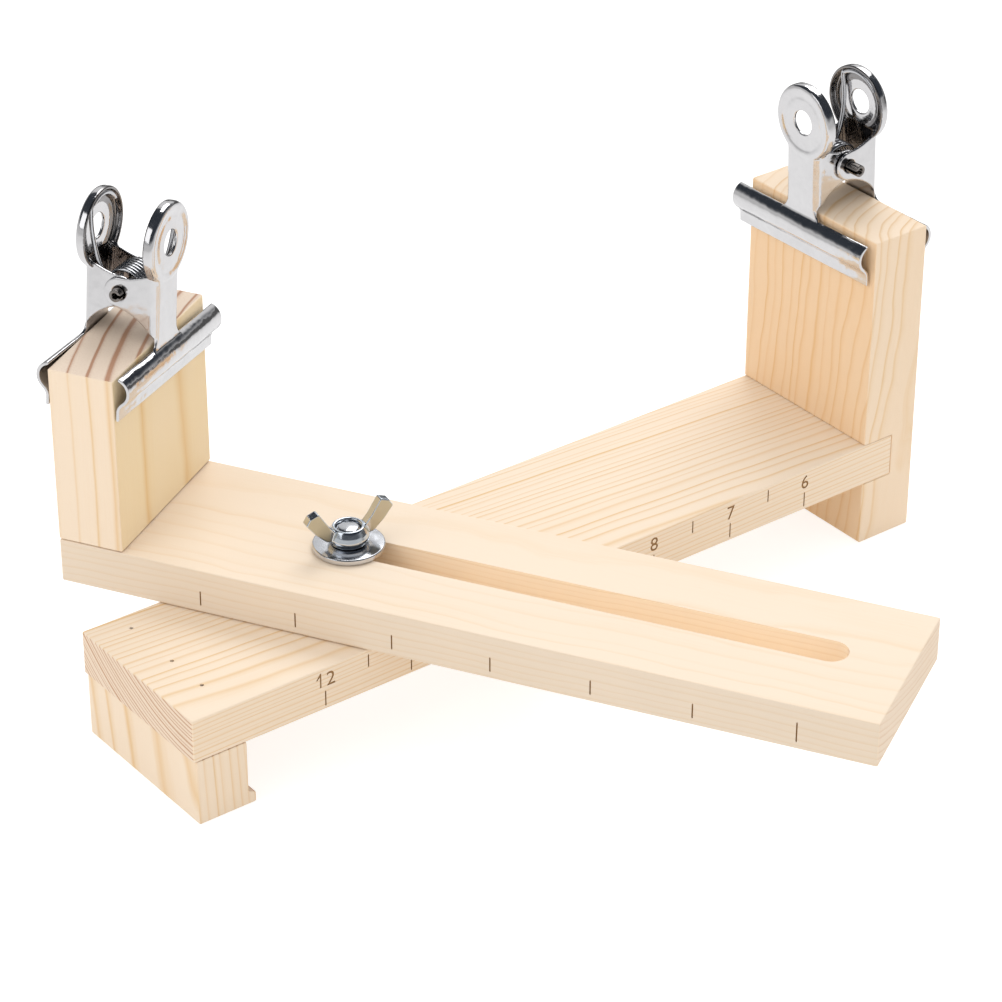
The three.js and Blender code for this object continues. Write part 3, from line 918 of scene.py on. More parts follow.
# %% Brad holes
BRAD_HOLE, BRAD_HOLE_SIDES = 0.52, 16
FOOT_BRADS = [(-52.3, 17.7), (-52.3, -0.3), (-52.3, -13.3)]
HIDDEN_BRADS = [-16, 0, 16]
FOOT_BRAD_END = -25.5
THROUGH_BOARD = -30  # well past the board's underside
END_BORE_FROM, END_BORE_TO = 140, 170
ARM_BORE_FROM, ARM_BORE_TO = -2, 25.8

base_middle = (board_low.y + board_high.y) / 2
arm_middle = (slider_low.y + slider_high.y) / 2
arm_post_centre = (arm_upright_low.x + arm_upright_high.x) / 2


def foot_bores(bottom):
    """Cutters for the brads that go down through the base board."""
    return [rod(BRAD_HOLE, (x, y, bottom), (x, y, 1), BRAD_HOLE_SIDES) for x, y in FOOT_BRADS]


def end_bores():
    """Cutters for the brads that go through the base post into the board's end."""
    z = board_low.z / 2
    rows = [base_middle + y for y in HIDDEN_BRADS]
    return [rod(BRAD_HOLE, (END_BORE_FROM, y, z), (END_BORE_TO, y, z), BRAD_HOLE_SIDES) for y in rows]


def arm_bores():
    """Cutters for the brads that go up through the arm into its post."""
    x = arm_post_centre
    rows = [arm_middle + y for y in HIDDEN_BRADS]
    return [rod(BRAD_HOLE, (x, y, ARM_BORE_FROM), (x, y, ARM_BORE_TO), BRAD_HOLE_SIDES) for y in rows]


print(len(FOOT_BRADS) + 2 * len(HIDDEN_BRADS), "brads to make room for")

# %% [markdown]
# ## Burnt marks
# The maker marked the front edges with a hot tool: inch lines and half-inch lines, with a number over each
# inch. They could be a painted texture, but each mark is a shallow scorched groove, so it is cut into the
# wood, and the cut faces take a scorched look of their own. Numbers come from the plain built-in lettering.

# %% Scorched wood


def scorched():
    """Wood burnt brown, in uneven patches."""
    made, tree, shader = material("scorched_pine", (0.38, 0.21, 0.09), 0.85)
    place = object_mm(tree)
    patch = noise(tree, place, 1.4, 3.0)
    tone = mix_colour(tree, patch, (0.27, 0.14, 0.05), (0.52, 0.32, 0.15))
    tree.links.new(tone, shader.inputs["Base Color"])
    return made


SCORCHED = scorched()
print("scorched wood ready")

# %% [markdown]
# Figures come from a text object, which Blender turns into a solid. The 1 of 10, 11 and 12 is drawn from
# listed points as a stroke with a flag, because a hot tool leaves no serifs.

# %% Numbers
NUMBER_DEPTH = 0.24
FIGURE_STEP = 0.8  # between two figures, of their height
FONT_SIZE = 1.35  # the lettering's size for a figure 1 high
ONE_HEIGHT = 3.6
ONE = [(-0.9, 2.1), (-0.55, 2.1), (0.1, 2.75), (0.1, 0), (0.45, 0), (0.45, ONE_HEIGHT), (0.15, ONE_HEIGHT)]


def figure(text, height):
    """One figure as a closed mesh in XY, as thick above z = 0 as below it, in millimetres."""
    curve = bpy.data.curves.new("number", "FONT")
    curve.body = text
    curve.size = height * FONT_SIZE
    curve.align_x = "CENTER"
    curve.extrude = NUMBER_DEPTH
    curve.offset = 0.01
    curve.resolution_u = 3
    maker = bpy.data.objects.new("number", curve)
    bpy.context.scene.collection.objects.link(maker)
    mesh = take_mesh(maker)
    mend(mesh, 1e-3)
    return mesh


def lettering(text, height):
    """A number of one or two figures, where the 1 is the one drawn above."""
    if len(text) == 1:
        return figure(text, height)
    outline = [(x * height / ONE_HEIGHT, y * height / ONE_HEIGHT) for x, y in ONE]
    one = plate([outline], -NUMBER_DEPTH, NUMBER_DEPTH, 0)
    second = one.copy() if text[1] == "1" else figure(text[1], height)
    apart = Matrix.Translation((height * FIGURE_STEP / 2, 0, 0))
    one.transform(apart.inverted())
    second.transform(apart)
    return joined(one, second)


print("the drawn 1 has", len(ONE), "corners")

# %% [markdown]
# A tick's cutter is a thin bar and a number's is its solid lettering. Both stand up against a front edge,
# with one side in the wood and the other out of it, so that no face of a cutter lies in the board's face.

# %% Cutters for the marks
TICK_WIDTH, TICK_POINT = 0.36, 0.3
TICK_DEPTH, TICK_OUT = 0.36, 0.12
NUMBER_HEIGHT = 4.1


def mark_tool(x, low, high, y):
    """A tick's cutter on a front edge: a thin bar with pointed ends, as a burnt line has."""
    left, right = x - TICK_WIDTH / 2, x + TICK_WIDTH / 2
    outline = [
        (left, low + TICK_POINT), (x, low), (right, low + TICK_POINT),
        (right, high - TICK_POINT), (x, high), (left, high - TICK_POINT),
    ]
    bar = plate([outline], -TICK_DEPTH, TICK_OUT, 0)
    bar.transform(Matrix.Translation((0, y, 0)) @ STANDING)
    bar.materials.append(SCORCHED)
    return bar


def number_tool(text, x, bottom, y):
    """A number's cutter on a front edge."""
    mesh = lettering(text, NUMBER_HEIGHT)
    mesh.transform(Matrix.Translation((x, y, bottom)) @ STANDING)
    mesh.materials.clear()
    mesh.materials.append(SCORCHED)
    return mesh


print("ticks are", TICK_WIDTH, "mm wide and", TICK_DEPTH, "mm deep")

# %% [markdown]
# The base has seven inch lines, numbered from the post's end, with half-inch lines between them. The arm has
# inch lines only, and its last one reaches higher. A line's ends are shares of the board's thickness.

# %% Marks along both edges
INCH = 25.4
FIRST_NUMBER, INCHES = 6, 7
FIRST_INCH = 127.5  # the line numbered 6, from the bolt
ARM_FIRST = -29.1  # the arm's first line, from the bolt

board_front = board_low.y
thickness = board_high.z - board_low.z
marks = []
for inch in range(INCHES):
    x = FIRST_INCH - INCH * inch
    marks.append(mark_tool(x, -0.93 * thickness, -0.55 * thickness, board_front))
    marks.append(number_tool(str(FIRST_NUMBER + inch), x, -0.45 * thickness, board_front))
    if inch < INCHES - 1:
        marks.append(mark_tool(x - INCH / 2, -0.42 * thickness, -0.1 * thickness, board_front))

arm_marks = []
for inch in range(INCHES):
    x = ARM_FIRST + INCH * inch
    top = 0.37 if inch == INCHES - 1 else 0.49
    low, high = slider_high.z - 0.85 * thickness, slider_high.z - top * thickness
    arm_marks.append(mark_tool(x, low, high, slider_low.y))
print(len(marks), "marks on the base,", len(arm_marks), "on the arm")

# %% [markdown]
# Now the blanks are cut. The order is a maker's: bores and slot first, marks last, and then each timber goes
# to its place. The shading stays flat except across very small angles, which keeps the planed faces planed.

# %% Timber in place


def finish_timber(name, blank, cutters, place, body, look):
    """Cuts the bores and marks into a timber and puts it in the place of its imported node."""
    blank.materials.clear()
    blank.materials.append(look)
    for tool in cutters:
        if not tool.materials:
            tool.materials.append(look)
    show(name + "_timber", cut(blank, cutters), place, body, None, [name], 10)


base_cutters = foot_bores(THROUGH_BOARD) + end_bores() + marks
finish_timber("base_board", base_board, base_cutters, base_place, "base", pine_base)
finish_timber("base_post", base_post, end_bores(), base_place, "base", pine_post)
finish_timber("base_foot", base_foot, foot_bores(FOOT_BRAD_END), base_place, "base", pine_foot)
arm_cutters = [slot_cutter] + arm_bores() + arm_marks
finish_timber("arm_board", arm_board, arm_cutters, arm_place, "arm", pine_arm)
finish_timber("arm_post", arm_post, arm_bores(), arm_place, "arm", pine_arm_post)

# %% [markdown]
# ## Metal
# The clips are sheet steel, pressed and then nickel plated: a mirror that the press has left slightly wavy,
# with a little haze. A plain shiny metal would look like a perfect mirror. One group gives the waves, the
# haze and fine rubbed scratches; each material uses it at its own strength.

# %% Worn metal


def worn_metal_group():
    """Waves, haze and scratches of plated metal, from a place in millimetres."""
    inputs = [
        ("Place", "NodeSocketVector", None),
        ("Wave", "NodeSocketFloat", 0.12),
        ("Haze", "NodeSocketFloat", 0.2),
    ]
    outputs = [(name, "NodeSocketFloat") for name in ("Roughness", "Height", "Tone")]
    tree, source, out = group("worn_metal", inputs, outputs)
    place = source.outputs["Place"]
    slow = noise(tree, place, 0.16, 2.0)
    quick = noise(tree, place, 0.7, 3.0, 0.55)
    stretch = add(tree, "ShaderNodeVectorMath", operation="MULTIPLY")
    stretch.inputs[1].default_value = (9, 0.5, 0.8)
    tree.links.new(place, stretch.inputs[0])
    scratch = noise(tree, stretch.outputs[0], 1.0, 2.0)
    scratch = ramp(tree, scratch, [(0.6, 0.0), (0.7, 1.0)])
    rough = math_node(tree, "MULTIPLY_ADD", quick, 0.14, source.outputs["Haze"])
    rough = math_node(tree, "MULTIPLY_ADD", scratch, 0.06, math_node(tree, "SUBTRACT", rough, 0.07))
    height = math_node(tree, "MULTIPLY", slow, 8.0)
    height = math_node(tree, "MULTIPLY_ADD", quick, 0.25, height)
    height = math_node(tree, "MULTIPLY", height, source.outputs["Wave"])
    tone = math_node(tree, "MULTIPLY_ADD", slow, 0.5, math_node(tree, "MULTIPLY", quick, 0.3))
    tree.links.new(rough, out.inputs["Roughness"])
    tree.links.new(height, out.inputs["Height"])
    tree.links.new(tone, out.inputs["Tone"])
    return tree


WORN = worn_metal_group()
print("worn metal group has", len(WORN.nodes), "nodes")

# %% [markdown]
# The jaws are plated, and darker inside, where the shade and the dark reflections inside the clip are painted
# into the metal. The bolt and washer are zinc plated, the springs are bright wire, and the pins are dark
# rolled strip. A metal is a pale and a dull tone, a haze and a strength of wave.

# %% Five metals


def metal(name, pale, dull, haze, wave):
    """A metal between two tones, with the shared waves and haze."""
    made, tree, shader = material(name, pale, haze + 0.1, 1.0)
    worn = tree.nodes.new("ShaderNodeGroup")
    worn.node_tree = WORN
    worn.inputs["Haze"].default_value = haze
    worn.inputs["Wave"].default_value = wave
    tree.links.new(object_mm(tree), worn.inputs["Place"])
    tone = mix_colour(tree, worn.outputs["Tone"], dull, pale)
    bump = add(tree, "ShaderNodeBump", Strength=0.5, Distance=0.0001)
    tree.links.new(worn.outputs["Height"], bump.inputs["Height"])
    tree.links.new(bump.outputs[0], shader.inputs["Normal"])
    tree.links.new(tone, shader.inputs["Base Color"])
    tree.links.new(worn.outputs["Roughness"], shader.inputs["Roughness"])
    return made


plated = metal("plated_steel", (0.84, 0.835, 0.84), (0.64, 0.63, 0.64), 0.13, 0.85)
# Shade and dark reflections painted on the jaw faces that look in at the spring.
plated_painted_shade = metal("plated_painted_shade", (0.42, 0.41, 0.41), (0.2, 0.19, 0.19), 0.16, 0.85)
zinc = metal("zinc_steel", (0.8, 0.83, 0.88), (0.58, 0.58, 0.6), 0.18, 0.25)
bright_wire = metal("bright_wire", (0.74, 0.75, 0.77), (0.5, 0.5, 0.52), 0.14, 0.15)
dark_steel = metal("dark_steel", (0.4, 0.38, 0.36), (0.16, 0.14, 0.13), 0.24, 0.3)
print("five metals")

# %% [markdown]
# The wing nut is cast, not pressed. The mould has left the flat flanks of its wings dull, while the edges and
# the boss are bright from handling. A second material on picked faces would change at a hard line, so the
# dullness is a mask: faces that look squarely along the wings' thickness, out from the boss.

# %% The casting's metal
NUT_TURN = math.radians(-10.3)  # how the wings stand at rest
FLANK_LOOK = (math.sin(NUT_TURN), -math.cos(NUT_TURN), 0)


def casting():
    """The nut's metal: plated zinc, with the flat flanks of its wings left dull by the mould."""
    made = metal("cast_zinc", (0.8, 0.86, 0.94), (0.6, 0.64, 0.68), 0.15, 0.5)
    tree = made.node_tree
    shader = tree.nodes["Principled BSDF"]
    flank = math_node(tree, "ABSOLUTE", facing(tree, FLANK_LOOK))
    flank = ramp(tree, flank, [(0.93, 0.0), (0.97, 1.0)])
    out = add(tree, "ShaderNodeVectorMath", operation="MULTIPLY")
    out.inputs[1].default_value = (0.1, 0.1, 0)
    tree.links.new(object_mm(tree, (bolt_at.x, bolt_at.y, 0)), out.inputs[0])
    reach = add(tree, "ShaderNodeVectorMath", operation="LENGTH")
    tree.links.new(out.outputs[0], reach.inputs[0])
    dull = math_node(tree, "MULTIPLY", flank, ramp(tree, reach.outputs["Value"], [(0.5, 0.0), (0.58, 1.0)]))
    old = {name: shader.inputs[name].links[0].from_socket for name in ("Base Color", "Roughness")}
    tree.links.new(mix_colour(tree, dull, old["Base Color"], (0.62, 0.58, 0.45)), shader.inputs["Base Color"])
    rough = math_node(tree, "MULTIPLY_ADD", dull, 0.25, old["Roughness"])
    tree.links.new(rough, shader.inputs["Roughness"])
    return made


cast_zinc = casting()
print("the casting's shader has", len(cast_zinc.node_tree.nodes), "nodes")

# %% [markdown]
# ## Turned pieces
# The bolt, washer, pins and brads are round. A cylinder with bevels could stand for each, but a side profile
# spun about its axis gives every rounding and taper at once.

# %% Spinning a profile


def spun(profile, sides):
    """A closed body of revolution about Z. The profile runs upwards on the outside; radius 0 is the axis."""
    shape = bmesh.new()
    rings = []
    for radius, height in profile:
        if radius < 1e-6:
            rings.append([shape.verts.new((0, 0, height))])
            continue
        turns = [2 * math.pi * k / sides for k in range(sides)]
        rings.append([shape.verts.new((radius * math.cos(t), radius * math.sin(t), height)) for t in turns])
    closed = len(rings[0]) > 1
    pairs = list(zip(rings, rings[1:])) + ([(rings[-1], rings[0])] if closed else [])
    for low, high in pairs:
        for k in range(sides):
            after = (k + 1) % sides
            if len(low) == 1:
                shape.faces.new((low[0], high[after], high[k]))
            elif len(high) == 1:
                shape.faces.new((low[k], low[after], high[0]))
            else:
                shape.faces.new((low[k], low[after], high[after], high[k]))
    mesh = bpy.data.meshes.new("spun")
    bmesh.ops.recalc_face_normals(shape, faces=shape.faces)
    shape.to_mesh(mesh)
    shape.free()
    return mesh


print("profiles can be spun")

# %% [markdown]
# A screw thread is the same thing with the profile climbing one pitch in each turn. Here the rings of points
# stay level, and each point's radius follows the height within its own turn, so that the thread is part of
# one closed bar.

# %% A screw thread
THREAD_SIDES = 40
ROWS_PER_TURN = 8


def threaded(radius, depth, pitch, bottom, top, chamfer):
    """A closed screw between two heights, its upper end fading to the thread's root."""
    shape = bmesh.new()
    rows = int((top - bottom) / pitch * ROWS_PER_TURN)
    rings = []
    for row in range(rows + 1):
        z = bottom + (top - bottom) * row / rows
        near_end = min(1.0, (top - z) / chamfer)
        ring = []
        for k in range(THREAD_SIDES):
            wave = abs(((z / pitch - k / THREAD_SIDES) % 1.0) * 2 - 1)
            crest = min(1.0, max(0.0, (wave - 0.15) / 0.6))
            r = min(radius - depth * crest, radius - depth + depth * near_end - 0.25 * (1 - near_end))
            turn = 2 * math.pi * k / THREAD_SIDES
            ring.append(shape.verts.new((r * math.cos(turn), r * math.sin(turn), z)))
        rings.append(ring)
    for low, high in zip(rings, rings[1:]):
        for k in range(THREAD_SIDES):
            after = (k + 1) % THREAD_SIDES
            shape.faces.new((low[k], low[after], high[after], high[k]))
    shape.faces.new(list(reversed(rings[0])))
    shape.faces.new(rings[-1])
    mesh = bpy.data.meshes.new("thread")
    shape.to_mesh(mesh)
    shape.free()
    return mesh


print("the thread is drawn with", THREAD_SIDES, "sides")

# %% [markdown]
# ## The bolt
# A coach bolt has a low domed head and a square neck that bites into the wood, so that it can't turn. Its
# shank comes up through the slot. Head, neck, shank and thread overlap as four closed solids: they look the
# same as one welded skin, which would have to be cut and joined where round meets square.

# %% The bolt
BOLT, SHANK = 3.0, 2.7  # the radii of the thread and of the plain part
HEAD_RADIUS, HEAD_HEIGHT, HEAD_RIM = 6.8, 3.0, 0.35
NECK, NECK_HALF_WIDTH = 4.0, 2.95
THREAD_DEPTH, PITCH = 0.55, 1.0

bolt_low, bolt_high = local_box("carriage_bolt", base_place)
under = bolt_low.z + HEAD_HEIGHT
head = [(0, bolt_low.z)]
for k in range(1, 15):
    turn = k / 14 * math.pi / 2
    dome = (HEAD_HEIGHT - HEAD_RIM) * math.cos(turn)
    head.append((HEAD_RADIUS * math.sin(turn), under - HEAD_RIM - dome))
head += [(HEAD_RADIUS, under - 0.2), (HEAD_RADIUS - 0.2, under), (0, under)]
square = box_outline(-NECK_HALF_WIDTH, -NECK_HALF_WIDTH, NECK_HALF_WIDTH, NECK_HALF_WIDTH)
neck = plate([softened(square, 0.5)], under - 0.5, under + NECK - 1, 0.2)
shank = spun([(0, under - 0.5), (SHANK, under - 0.5), (SHANK, 2.0), (0, 2.0)], 40)
thread = threaded(BOLT - 0.02, THREAD_DEPTH, PITCH, 1.6, bolt_high.z, 0.35)
bolt = joined(spun(head, 64), neck, shank, thread)
show("carriage_bolt_steel", bolt, base_place, "base", zinc, ["carriage_bolt"], 30)

# %% [markdown]
# The washer is punched from sheet and tumbled, which rounds its edges. Its section is a rectangle with
# softened corners, spun about the bolt.

# %% The washer
washer_low, washer_high = local_box("washer", base_place)
rim = (washer_high.x - washer_low.x) / 2
section = softened(box_outline(HOLE, washer_low.z, rim, washer_high.z), 0.35, 4)
show("washer_steel", spun(section, 72), base_place, "bolt_washer", zinc, ["washer"], 50)

# %% [markdown]
# The nut is a casting: a tapered boss with two wings whose edges are rounded and which run into the boss in
# soft hollows. A subdivision surface could give those, from a cage drawn point by point. Here the boss and
# the wings are separate solids that are joined, rebuilt on a fine grid and smoothed, and the hollows come of
# themselves.

# %% The wing nut


def remeshed(mesh, size, rounds):
    """The mesh rebuilt on a grid and smoothed, which softens every edge and fills inner corners a little."""
    maker = bpy.data.objects.new("remesh", mesh)
    bpy.context.scene.collection.objects.link(maker)
    grid = maker.modifiers.new("grid", "REMESH")
    grid.mode = "VOXEL"
    grid.voxel_size = size
    grid.use_smooth_shade = True
    soften = maker.modifiers.new("soften", "SMOOTH")
    soften.iterations = rounds
    soften.factor = 0.5
    return take_mesh(maker)


boss = spun([
    (3.15, 0.0), (4.4, 0.0), (4.85, 0.5), (5.15, 1.4), (5.15, 2.0), (4.8, 3.0),
    (4.15, 4.25), (3.9, 4.6), (3.4, 4.6), (3.15, 4.35), (3.15, 3.6),
], 64)
wing_points = [
    (3.55, 3.7), (5.6, 6.1), (8.3, 10.35), (10.6, 9.5),
    (11.65, 7.8), (9.2, 4.6), (6.35, 1.95), (3.55, 1.2),
]
wing = standing_plate([softened(wing_points, 0.4, 4)], -1.3, 1.3, 0.25)
other_wing = moved(wing, Matrix.Rotation(math.pi, 4, "Z"))
nut = remeshed(joined(boss, wing, other_wing), 0.12, 5)
nut_bottom = local_box("wing_nut", base_place)[0].z
nut.transform(Matrix.Translation((0, 0, nut_bottom)) @ Matrix.Rotation(NUT_TURN, 4, "Z"))
show("wing_nut_casting", nut, base_place, "wing_nut", cast_zinc, ["wing_nut"], 60)

# %% [markdown]
# ## Brads
# Thin nails with hardly any head, punched just under the surface. One is turned and used nine times.

# %% Brads
BRAD_LENGTH, BRAD_RADIUS, BRAD_HEAD = 25, 0.4, 0.46
SINK = 0.25  # how far a brad is punched under the surface

brad = spun([
    (0, -BRAD_LENGTH), (BRAD_RADIUS / 2, -BRAD_LENGTH + 0.8), (BRAD_RADIUS, -BRAD_LENGTH + 2.2),
    (BRAD_RADIUS, -0.7), (BRAD_HEAD, -0.5), (BRAD_HEAD, -0.1), (BRAD_RADIUS, 0), (0, 0),
], 14)


def brad_row(name, places, turn, place, body):
    """Three brads, one at each place, as one piece."""
    row = joined(*[moved(brad, Matrix.Translation(at) @ turn) for at in places])
    nodes = [f"{name}_{k + 1}" for k in range(len(places))]
    show(name + "s", row, place, body, bright_wire, nodes)


downwards = Matrix.Identity(4)
leftwards = Matrix.Rotation(math.pi / 2, 4, "Y")
upwards = Matrix.Rotation(math.pi, 4, "X")
foot_places = [(x, y, -SINK) for x, y in FOOT_BRADS]
post_places = [(upright_high.x - SINK, base_middle + y, board_low.z / 2) for y in HIDDEN_BRADS]
arm_places = [(arm_post_centre, arm_middle + y, slider_low.z + SINK) for y in HIDDEN_BRADS]
brad_row("foot_brad", foot_places, downwards, base_place, "base")
brad_row("post_brad", post_places, leftwards, base_place, "base")
brad_row("arm_brad", arm_places, upwards, arm_place, "arm")

# %% [markdown]
# ## The clips' jaws
# A jaw is one pressed sheet. From below: a flat lip that bears on the wood, a roll that stiffens it, a neck
# folded into a channel whose two sides are the ears that the pin goes through, and a round finger pad with a
# turned-in rim. It could be one subdivision cage, but each feature is easier to place as a plate or a spun
# dish. Where two of them meet, the press leaves a hollow, so the sheet is widened there with hollow curves.
# The jaw is drawn once, with the pin at the origin, and used four times.

# %% The bar: lip and roll
SHEET = 0.8
JAW_HALF = 24.85
LIP = 9.45  # the middle of the lip's sheet, out from the pin
ROLL_X, ROLL_Z, ROLL_OUT = 8.6, 7.6, 3.9


def sheet_profile(line):
    """A closed outline around a line of points: the line is the sheet's middle."""
    half = SHEET / 2
    left, right, caps = [], [], []
    for k, point in enumerate(line):
        before, after = line[max(k - 1, 0)], line[min(k + 1, len(line) - 1)]
        way = Vector((after[0] - before[0], after[1] - before[1])).normalized()
        side = Vector((-way.y, way.x)) * half
        left.append((point[0] + side.x, point[1] + side.y))
        right.append((point[0] - side.x, point[1] - side.y))
        if k in (0, len(line) - 1):
            start = math.degrees(math.atan2(-side.y, -side.x)) + (180 if k == 0 else 0)
            caps.append(arc(*point, half, start, start + 180, 6)[1:-1])
    return right + caps[1] + left[::-1] + caps[0]


mid_roll = ROLL_OUT - SHEET / 2
bar_line = [(LIP, 0.4), (LIP, 1.5), (LIP, 2.7), (LIP + 0.2, 3.4), (LIP + 0.6, 4.1)]
bar_line += arc(ROLL_X, ROLL_Z, mid_roll, -50, 72, 44)
jaw_bar = standing_plate([sheet_profile(bar_line)], -JAW_HALF, JAW_HALF, 0.12)
print("the bar has", len(jaw_bar.polygons), "faces")

# %% [markdown]
# The neck's front rises from the roll and widens towards it and towards the pad. It is the sheet's side
# profile cut to the front's outline: two plates at right angles, and what they have in common.

# %% The neck's front
NECK_IN, NECK_OUT = 9.4, 10.2
NECK_HALF, INNER_EAR = 7.0, 5.9
FLANGE = 1.7  # how far the front's straight edges stand in from the ears
FOOT_RADIUS, FOOT_HEIGHT = 1.89, 12.02
FACING = Matrix(((0, 0, 1, 0), (1, 0, 0, 0), (0, 1, 0, 0), (0, 0, 0, 1)))  # outline in Y and Z, thick along X

neck_middle = NECK_OUT - SHEET / 2
foot_line = arc(ROLL_X, ROLL_Z, mid_roll, 35, 55, 4)[:-1]
foot_line += arc(neck_middle + FOOT_RADIUS, FOOT_HEIGHT, FOOT_RADIUS, 235, 180, 8)
foot_line += [(neck_middle, z) for z in (16, 22, 27, 31)]
front_sheet = standing_plate([sheet_profile(foot_line)], -15, 15)

spread = [(3.4, 9.2), (2.4, 11.0), (1.2, 12.2), (0.3, 13.8), (0, 16.0), (0, 27.0), (0.5, 29.5), (1.8, 31.5)]
front = [(INNER_EAR - FLANGE + wider, z) for wider, z in spread]
front += [(FLANGE - NECK_HALF - wider, z) for wider, z in reversed(spread)]
front_face = plate([front], 8.0, 14.0, 0)
front_face.transform(FACING)
neck_front = cut(front_sheet, [front_face], "INTERSECT")
print("the neck's front has", len(neck_front.polygons), "faces")

# %% [markdown]
# The neck's two sides fold back into ears that carry the pin. Seen from above the sheet is a channel, and
# seen from the side each ear is arched below and rounded at the pin, so again two outlines are crossed.

# %% The channel and its ears
PIN_HEIGHT = 24.5
BEND = 2.4
CHANNEL_END = -5.0
EAR_TOP, EAR_RISE, EAR_RADIUS, ARCH_FOOT = 28.5, 3.4, 4.0, 14.0

corner = NECK_OUT - BEND
right, left = INNER_EAR - BEND, BEND - NECK_HALF
channel = [(CHANNEL_END, -NECK_HALF)]
channel += arc(corner, left, BEND, -90, 0, 10) + arc(corner, right, BEND, 0, 90, 10)
channel += [(CHANNEL_END, INNER_EAR), (CHANNEL_END, INNER_EAR - SHEET)]
channel += arc(corner, right, BEND - SHEET, 90, 0, 10) + arc(corner, left, BEND - SHEET, 0, -90, 10)
channel += [(CHANNEL_END, SHEET - NECK_HALF)]
neck_channel = plate([channel], 10.9, 31.9, 0)


def quadratic(start, control, end, steps=12):
    """Points of a curve that leaves the start and meets the end along lines through the control point."""
    made = []
    for k in range(1, steps + 1):
        t = k / steps
        weights = ((1 - t) ** 2, 2 * t * (1 - t), t * t)
        made.append(tuple(sum(w * p[i] for w, p in zip(weights, (start, control, end))) for i in (0, 1)))
    return made


ears = [(NECK_OUT + 1, EAR_TOP + EAR_RISE), (NECK_OUT, EAR_TOP + EAR_RISE)]
ears += quadratic(ears[-1], (NECK_IN * 0.45, EAR_TOP), (0, EAR_TOP))
ears += arc(0, PIN_HEIGHT, EAR_RADIUS, 90, 270, 20)[1:]
ears += quadratic(ears[-1], (NECK_IN * 0.65, PIN_HEIGHT - EAR_RADIUS - 1.4), (NECK_IN, ARCH_FOOT))
ears += [(NECK_IN, 10.0), (NECK_OUT + 1, 10.0)]
ear_shape = standing_plate([ears[::-1]], -14, 14)
pin_hole = rod(1.75, (0, -14, PIN_HEIGHT), (0, 14, PIN_HEIGHT), 40)
neck_channel = cut(neck_channel, [ear_shape], "INTERSECT")
neck_channel = cut(neck_channel, [pin_hole])
print("the channel has", len(neck_channel.polygons), "faces")

# %% [markdown]
# The finger pad is a shallow dish with a hole, a pressed ring and a turned-in rim, spun from its section. The
# rim is cut away where the neck comes up into it. The neck and the pad are then rebuilt together on a fine
# grid and smoothed. The bar is left out of that, because its edges are crisp.

# %% The pad, and the jaw put together
PAD_HEIGHT, PAD_RADIUS = 37.5, 10.3

IN, OUT = NECK_IN, NECK_OUT
inner_side = [
    (3.25, IN + 0.2), (3.5, IN), (5.6, IN), (6.2, IN - 0.05), (6.8, IN - 0.3), (7.4, IN - 0.35),
    (8.0, IN - 0.15), (8.6, IN), (9.0, IN - 0.2), (9.25, IN - 0.6), (9.35, IN - 1.1),
]
turned_rim = [(9.35, 7.85), (9.55, 7.62), (9.9, 7.62), (10.15, 7.85)]
outer_side = [
    (10.15, OUT - 0.9), (10.0, OUT - 0.35), (9.7, OUT + 0.05), (9.2, OUT + 0.24), (8.6, OUT + 0.27),
    (8.0, OUT + 0.16), (7.5, OUT - 0.02), (7.1, OUT - 0.08), (6.7, OUT - 0.05), (6.2, OUT + 0.06),
    (5.6, OUT + 0.1), (3.5, OUT + 0.1), (3.25, OUT - 0.1),
]
dish = spun(inner_side + turned_rim + outer_side, 96)
dish.transform(Matrix.Translation((0, 0, PAD_HEIGHT)) @ Matrix.Rotation(math.pi / 2, 4, "Y"))
gap = plate([box_outline(6.0, -6.0, IN, 6.0)], 26.0, PAD_HEIGHT - PAD_RADIUS + 4.3, 0)
dish = cut(dish, [gap])
jaw = joined(jaw_bar, remeshed(joined(neck_front, neck_channel, dish), 0.19, 8))
print("a jaw has", len(jaw.polygons), "faces")

# %% [markdown]
# The faces that look in at the spring lie in shade and mirror the dark inside of the clip, so they get a
# darker metal with that shade painted in, picked by which way they look and where they are.

# %% Darker inside
PAD_FLAT = 5.9


def is_inside(face):
    """Whether a face looks in at the spring, about the pin or above it, off the pad's flat middle."""
    off_middle = math.hypot(face.center.y, face.center.z - PAD_HEIGHT) > PAD_FLAT
    return face.normal.x < -0.15 and face.center.z > PIN_HEIGHT - 4 and off_middle and face.center.x > 7.0


# The second material carries the painted shade on the faces that look in.
jaw.materials.append(plated)
jaw.materials.append(plated_painted_shade)
darker = [int(is_inside(face)) for face in jaw.polygons]
jaw.polygons.foreach_set("material_index", darker)
jaw.transform(Matrix.Translation((0, 0, -PIN_HEIGHT)))
print(sum(darker), "faces are darker")

# %% [markdown]
# ## Pins and springs
# The pin is a strip rolled into a tube, which holds by its own spring. The spring is a close coil around it
# with two legs that push the pads apart. The coil stays with the pin; each leg goes with its own jaw, and
# begins inside the coil's last turn, so that no gap opens when the pads are squeezed. A bevelled curve could
# be the wire too. Geometry Nodes are used because one tree then serves the coil and the legs, with the
# wire's radius and look as its inputs.

# %% The tree that sweeps a wire


